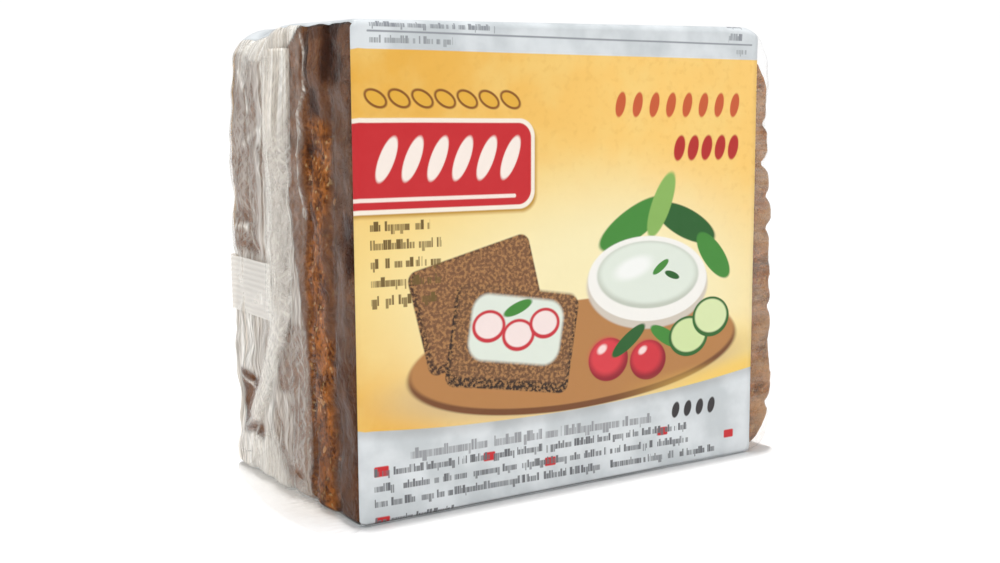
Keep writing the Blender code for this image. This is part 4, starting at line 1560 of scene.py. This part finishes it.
TAGS = tuple(
    ("oval", (along, height), half, -14, 0, 0.12, shade)
    for first, last, height, count, half, shade in KERNEL_ROWS
    for along in even(first, last, count)
) + (
    ("box", (5.0, 9.9), (1.5, 0.95), 0, 0.3, 0.15, RED),
    ("box", (28.0, 9.6), (1.3, 0.85), 0, 0.3, 0.15, RED),
    ("box", (70.0, 9.3), (1.3, 0.85), 0, 0.3, 0.15, RED),
    ("box", (42.0, 6.7), (1.3, 0.85), 0, 0.3, 0.15, RED),
    ("box", (88.0, 6.6), (1.3, 0.85), 0, 0.3, 0.15, RED),
    ("box", (5.0, 0.8), (1.5, 0.85), 0, 0.3, 0.15, RED),
    ("box", (48.0, 88.1), (44.5, 0.16), 0, 0.15, 0.10, (150, 154, 160)),
    ("box", (47.0, 210.0), (34.0, 9.0), 0, 3.0, 0.20, (250, 240, 226)),
    ("box", (47.0, 210.0), (33.0, 8.0), 0, 2.4, 0.20, RED),
    ("box", (47.0, 210.0), (24.0, 0.5), 0, 0.4, 0.20, (253, 236, 226)),
)
print(len(STILL_LIFE) + len(RIBBON) + len(TAGS), "shapes and", len(SMALL_PRINT), "blocks of rows")

# %% [markdown]
# ## The printed film material
#
# Under the marks lie the fields. The golden one is mottled like old paper and runs from deep gold
# at the left to pale gold at the right. The silver ones above and below have a soft marbling, and
# the lower one ends in a shallow curve with a thin shadow. The print's rows are very slightly
# tilted on the pack, so the map is tilted by the same small amount. Where the front turns under
# the pack, a painted contact shadow darkens the print in a line that fades out to the right. All
# these places are in millimetres of the map.

# %% Places and colours of the fields
MAP_UNIT = 0.1
PRINT_TILT = 0.018
CURVE_LOWEST = 16.2
CURVE_DEPTH = 0.00125
CURVE_MIDDLE = 36.0
CURVE_SHADOW_BREADTH, CURVE_SHADOW_SHARE = 2.6, 0.30
GLOW_TOP, GLOW_FULL, GLOW_SHARE = 4.5, 0.5, 0.85
PALE_GOLD_FROM = 70.0
BROAD_SCALE, GRAINY_SCALE, SPECK_SCALE, SOFT_SCALE = 0.09, 0.6, 1.5, 0.16
EDGE_HALF = 0.12
GOLD_TOP = 85.1
BACK_FROM, BOTTOM_FROM, FIELD_EDGE = 148.0, 234.0, 0.4
RIGHT_FROM, RIGHT_TO = 55.0, 92.0
# The painted contact shadow: a dark line along the front's lower edge, where the pack meets the
# table.
CONTACT_SHADOW_FROM = 0.1
CONTACT_SHADOW_TO = 0.9
CONTACT_SHADOW_SHARE, CONTACT_SHADOW_AT_RIGHT = 0.94, 0.35
DEEP_GOLD, PALE_GOLD = paint(238, 180, 71), paint(255, 208, 115)
WORN_GOLD, WORN_SHARE = paint(250, 222, 140), 0.35
GRAINY_GOLD, GRAINY_SHARE = paint(226, 170, 72), 0.22
DARK_SILVER, LIGHT_SILVER = paint(202, 208, 211), paint(226, 231, 234)
CURVE_SHADE, CURVE_GLOW = paint(120, 116, 112), paint(250, 206, 98)
# The first colour is the painted contact shadow along the front's lower edge.
CONTACT_SHADOW_SHADE, CRUMB_SPECK = paint(70, 68, 66), paint(190, 138, 84)
print("gold from", CURVE_LOWEST, "to", GOLD_TOP, "mm up the front")


# %% Marks, rows and fields over a colour
def add_mark(tree, place, colour, mark):
    """Paints one box or oval over a colour."""
    kind, middle, half, angle, corner, soft, shade = mark
    inputs = {
        "Place": place,
        "Centre": (*middle, 0.0),
        "Half": (*half, 1.0),
        "Angle": -math.radians(angle),
        "Round": corner,
        "Soft": soft,
    }
    group = print_oval if kind == "oval" else print_box
    mask = put(tree, "ShaderNodeGroup", inputs, node_tree=group).outputs["Mask"]
    shade = paint(*shade)
    if kind == "crumb":
        share = ramp(tree, pattern(tree, place, SPECK_SCALE, 4.0), 0.42, 0.64, 0.0, 0.75)
        shade = blend(tree, share, shade, CRUMB_SPECK)
    return blend(tree, mask, colour, shade)


def add_rows(tree, place, colour, block):
    """Paints one block of small print over a colour."""
    *numbers, shade = block
    inputs = {"Place": place, **dict(zip(ROW_INPUTS, numbers))}
    mask = put(tree, "ShaderNodeGroup", inputs, node_tree=print_rows).outputs["Mask"]
    return blend(tree, mask, colour, paint(*shade))


def print_fields(tree, place, across):
    """The mottled gold and the marbled silver under the marks."""
    broad = pattern(tree, place, BROAD_SCALE, 4.0)
    grain = pattern(tree, place, GRAINY_SCALE, 3.0)
    gold = blend(tree, ramp(tree, across, 0.0, PALE_GOLD_FROM), DEEP_GOLD, PALE_GOLD)
    worn = times(tree, ramp(tree, broad, 0.40, 0.68), WORN_SHARE)
    gold = blend(tree, worn, gold, WORN_GOLD)
    grainy = times(tree, ramp(tree, grain, 0.50, 0.72), GRAINY_SHARE)
    gold = blend(tree, grainy, gold, GRAINY_GOLD)
    return gold, blend(tree, ramp(tree, broad, 0.36, 0.64), DARK_SILVER, LIGHT_SILVER)


def add_borders(tree, across, up, colour, gold, silver):
    """Lays the curved lower border and the other three fields round the pack over a colour."""
    off_middle = sums(tree, "SUBTRACT", across, CURVE_MIDDLE)
    curve = times(tree, times(tree, off_middle, off_middle), CURVE_DEPTH)
    above = sums(tree, "SUBTRACT", sums(tree, "SUBTRACT", up, curve), CURVE_LOWEST)
    shadow = times(tree, ramp(tree, above, -CURVE_SHADOW_BREADTH, 0.0), CURVE_SHADOW_SHARE)
    lower = blend(tree, shadow, silver, CURVE_SHADE)
    glow = ramp(tree, across, RIGHT_FROM, RIGHT_TO, 0.0, GLOW_SHARE)
    glow = times(tree, ramp(tree, above, GLOW_TOP, GLOW_FULL), glow)
    colour = blend(tree, glow, colour, CURVE_GLOW)
    colour = blend(tree, ramp(tree, above, -EDGE_HALF, EDGE_HALF), lower, colour)
    in_top = ramp(tree, up, GOLD_TOP - EDGE_HALF, GOLD_TOP + EDGE_HALF)
    colour = blend(tree, in_top, colour, silver)
    colour = blend(tree, ramp(tree, up, BACK_FROM, BACK_FROM + FIELD_EDGE), colour, gold)
    return blend(tree, ramp(tree, up, BOTTOM_FROM, BOTTOM_FROM + FIELD_EDGE), colour, silver)


print("print helpers ready")


# %% Printed film
def printed_material():
    """Opaque printed film with a soft sheen."""
    made, tree, surface = empty_material("printed_film")
    flat = put(tree, "ShaderNodeUVMap", uv_map="print").outputs[0]
    in_mm = put(tree, "ShaderNodeVectorMath", {0: flat, "Scale": MAP_UNIT / MM}, operation="SCALE")
    parts = put(tree, "ShaderNodeSeparateXYZ", {0: in_mm.outputs[0]}).outputs
    across = parts[0]
    up = sums(tree, "MULTIPLY_ADD", across, PRINT_TILT, parts[1])
    place = put(tree, "ShaderNodeCombineXYZ", {0: across, 1: up}).outputs[0]
    gold, silver = print_fields(tree, place, across)

    colour = gold
    for mark in STILL_LIFE:
        colour = add_mark(tree, place, colour, mark)
    colour = add_borders(tree, across, up, colour, gold, silver)
    for mark in RIBBON + TAGS:
        colour = add_mark(tree, place, colour, mark)
    for block in SMALL_PRINT:
        colour = add_rows(tree, place, colour, block)

    # Paints a contact shadow as a dark line along the front's lower edge, fainter to the right.
    painted_contact_shadow = ramp(tree, parts[1], CONTACT_SHADOW_FROM, CONTACT_SHADOW_TO, CONTACT_SHADOW_SHARE, 0.0)
    painted_contact_shadow = times(tree, painted_contact_shadow, ramp(tree, across, RIGHT_FROM, RIGHT_TO, 1.0, CONTACT_SHADOW_AT_RIGHT))
    colour = blend(tree, painted_contact_shadow, colour, CONTACT_SHADOW_SHADE)
    sheen = {
        "Base Color": colour,
        "Roughness": 0.45,
        "Specular IOR Level": 0.3,
        "Coat Weight": 0.1,
        "Coat Roughness": 0.2,
    }
    soft = pattern(tree, place, SOFT_SCALE, 2.0)
    tree.links.new(bumped_shader(tree, sheen, soft, 0.25, 1.2 * MM), surface)
    return made


printed_film = printed_material()
print("printed film:", len(printed_film.node_tree.nodes), "nodes")

# %% [markdown]
# ## The printed band
#
# The band is the film's printed middle: a cut box without its two ends. Front, top, back and
# bottom are told apart on the sharp box, then the points move to the form of the film, and the
# map is written from their final places, so the print isn't stretched at the rounded corners.

# %% The band's grid and map
BAND_CELL = 1.6 * MM
RIM_STEPS = 7
EDGE_SPREAD = 8


def band_places(length, cell):
    """Fine steps at both rims and even ones between."""
    rim = even(0.0, RIM_ROUND, RIM_STEPS)
    middle = even(RIM_ROUND, length - RIM_ROUND, round((length - 2.0 * RIM_ROUND) / cell) + 1)
    return rim + middle[1:-1] + [length - place for place in reversed(rim)]


def round_the_band(place, side):
    """The second number of the print's map: the way round from the front's lower edge."""
    up, deep = 2.0 * place.z / PACK_HEIGHT - 1.0, 2.0 * place.y / PACK_DEPTH - 1.0
    if side == "front":
        return place.z + place.y * up
    if side == "top":
        return PACK_HEIGHT + place.y + (PACK_HEIGHT - place.z) * deep
    if side == "back":
        return 2.0 * PACK_HEIGHT + PACK_DEPTH - place.z - (PACK_DEPTH - place.y) * up
    return 2.0 * (PACK_HEIGHT + PACK_DEPTH) - place.y - place.z * deep


def side_of(facing):
    """Which side of the sharp box a face lies on, from its normal."""
    if abs(facing.y) > abs(facing.z):
        return "front" if facing.y < 0.0 else "back"
    return "top" if facing.z > 0.0 else "bottom"


print("grid up the band:", len(band_places(PACK_HEIGHT, BAND_CELL)), "lines")


# %% Band
def printed_band():
    """The printed film round the slices."""
    xs = even(LEFT_FILM_TO, BAND_WIDTH, 60)
    mesh = cut_cube(xs, band_places(PACK_DEPTH, BAND_CELL), band_places(PACK_HEIGHT, BAND_CELL))
    bmesh.ops.recalc_face_normals(mesh, faces=mesh.faces[:])
    delete_where(mesh, lambda middle: middle.x < xs[0] + FILM_THICKNESS)
    delete_where(mesh, lambda middle: middle.x > xs[-1] - FILM_THICKNESS)
    sides = [side_of(face.normal) for face in mesh.faces]
    for vert in mesh.verts:
        x, y, z = vert.co
        vert.co.x += (band_edge(y, z) - BAND_WIDTH) * (x / BAND_WIDTH) ** EDGE_SPREAD
        vert.co = film_point(vert.co)
    print_map = mesh.loops.layers.uv.new("print")
    for face, side in zip(mesh.faces, sides):
        for loop in face.loops:
            place = loop.vert.co
            loop[print_map].uv = (place.x / MAP_UNIT, round_the_band(place, side) / MAP_UNIT)
    piece = place_piece("printed_band", mesh, printed_film, FILM_THICKNESS)
    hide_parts("bread_pack")


printed_band()

# %% [markdown]
# ## The studio
#
# The photograph is high-key: a white table that runs out into a white background, light from all
# round, and only a thin soft shadow under the pack. A bright white world lights it from all round,
# and a small light almost straight above whitens the table and keeps the shadow thin. Three large
# soft lights, from the upper front left, the right and the left, give the film its sheen.

# %% Floor
FLOOR_SIZE = 6.0
ROOM_LIGHT = 0.46
BACKDROP = 1.02
TOP_LIGHT = 1.95
TOP_LIGHT_LEAN = math.radians(1.8)
TOP_LIGHT_SPREAD = math.radians(2.6)
TABLE_SHADE, TABLE_LIGHT = paint(250, 250, 250), paint(253, 253, 253)
SOFT_LIGHTS = (
    # name, place and size in metres, power in watts
    ("front_left_light", (-0.45, -0.65, 0.75), 0.7, 1.6),
    ("right_light", (0.85, -0.35, 0.50), 0.6, 1.6),
    ("left_light", (-0.80, 0.10, 0.35), 0.6, 1.0),
)


def floor_material():
    """A plain white table."""
    made, tree, surface = empty_material("white_table")
    tone = blend(tree, pattern(tree, own_place(tree), 30.0, 2.0), TABLE_SHADE, TABLE_LIGHT)
    plain = {"Base Color": tone, "Roughness": 0.7, "Specular IOR Level": 0.0}
    shader = put(tree, "ShaderNodeBsdfPrincipled", plain)
    tree.links.new(shader.outputs[0], surface)
    return made


floor_mesh = bmesh.new()
bmesh.ops.create_grid(floor_mesh, x_segments=1, y_segments=1, size=FLOOR_SIZE / 2.0)
floor_data = bpy.data.meshes.new("floor")
floor_mesh.to_mesh(floor_data)
floor_mesh.free()
floor_data.materials.append(floor_material())
floor = bpy.data.objects.new("floor", floor_data)
bpy.context.scene.collection.objects.link(floor)
print("floor", FLOOR_SIZE, "m wide")


# %% Lights
def soft_light(name, place, size, power):
    """A large square light that points at the middle of the pack."""
    data = bpy.data.lights.new(name, "AREA")
    data.size = size
    data.energy = power
    light = bpy.data.objects.new(name, data)
    target = Vector((0.0, 0.0, PACK_HEIGHT / 2.0))
    aim = (target - Vector(place)).to_track_quat("-Z", "Y").to_matrix().to_4x4()
    light.matrix_world = Matrix.Translation(place) @ aim
    bpy.context.scene.collection.objects.link(light)


for soft in SOFT_LIGHTS:
    soft_light(*soft)
top_data = bpy.data.lights.new("top_light", "SUN")
top_data.energy = TOP_LIGHT
top_data.angle = TOP_LIGHT_SPREAD
top_light = bpy.data.objects.new("top_light", top_data)
top_light.rotation_euler = (-TOP_LIGHT_LEAN, 0.0, 0.0)
bpy.context.scene.collection.objects.link(top_light)
print("soft lights:", [soft[0] for soft in SOFT_LIGHTS])

# %% World and view
world = bpy.data.worlds.new("white_room")
world.use_nodes = True
sky = world.node_tree.nodes["Background"]
sky.inputs["Color"].default_value = (1.0, 1.0, 1.0, 1.0)
seen = put(world.node_tree, "ShaderNodeLightPath").outputs["Is Camera Ray"]
strength = ramp(world.node_tree, seen, 0.0, 1.0, ROOM_LIGHT, BACKDROP)
world.node_tree.links.new(strength, sky.inputs["Strength"])
scene = bpy.context.scene
scene.world = world
scene.view_settings.view_transform = "Standard"
scene.view_settings.look = "None"
scene.cycles.transparent_max_bounces = 32
print("world ready, view transform", scene.view_settings.view_transform)
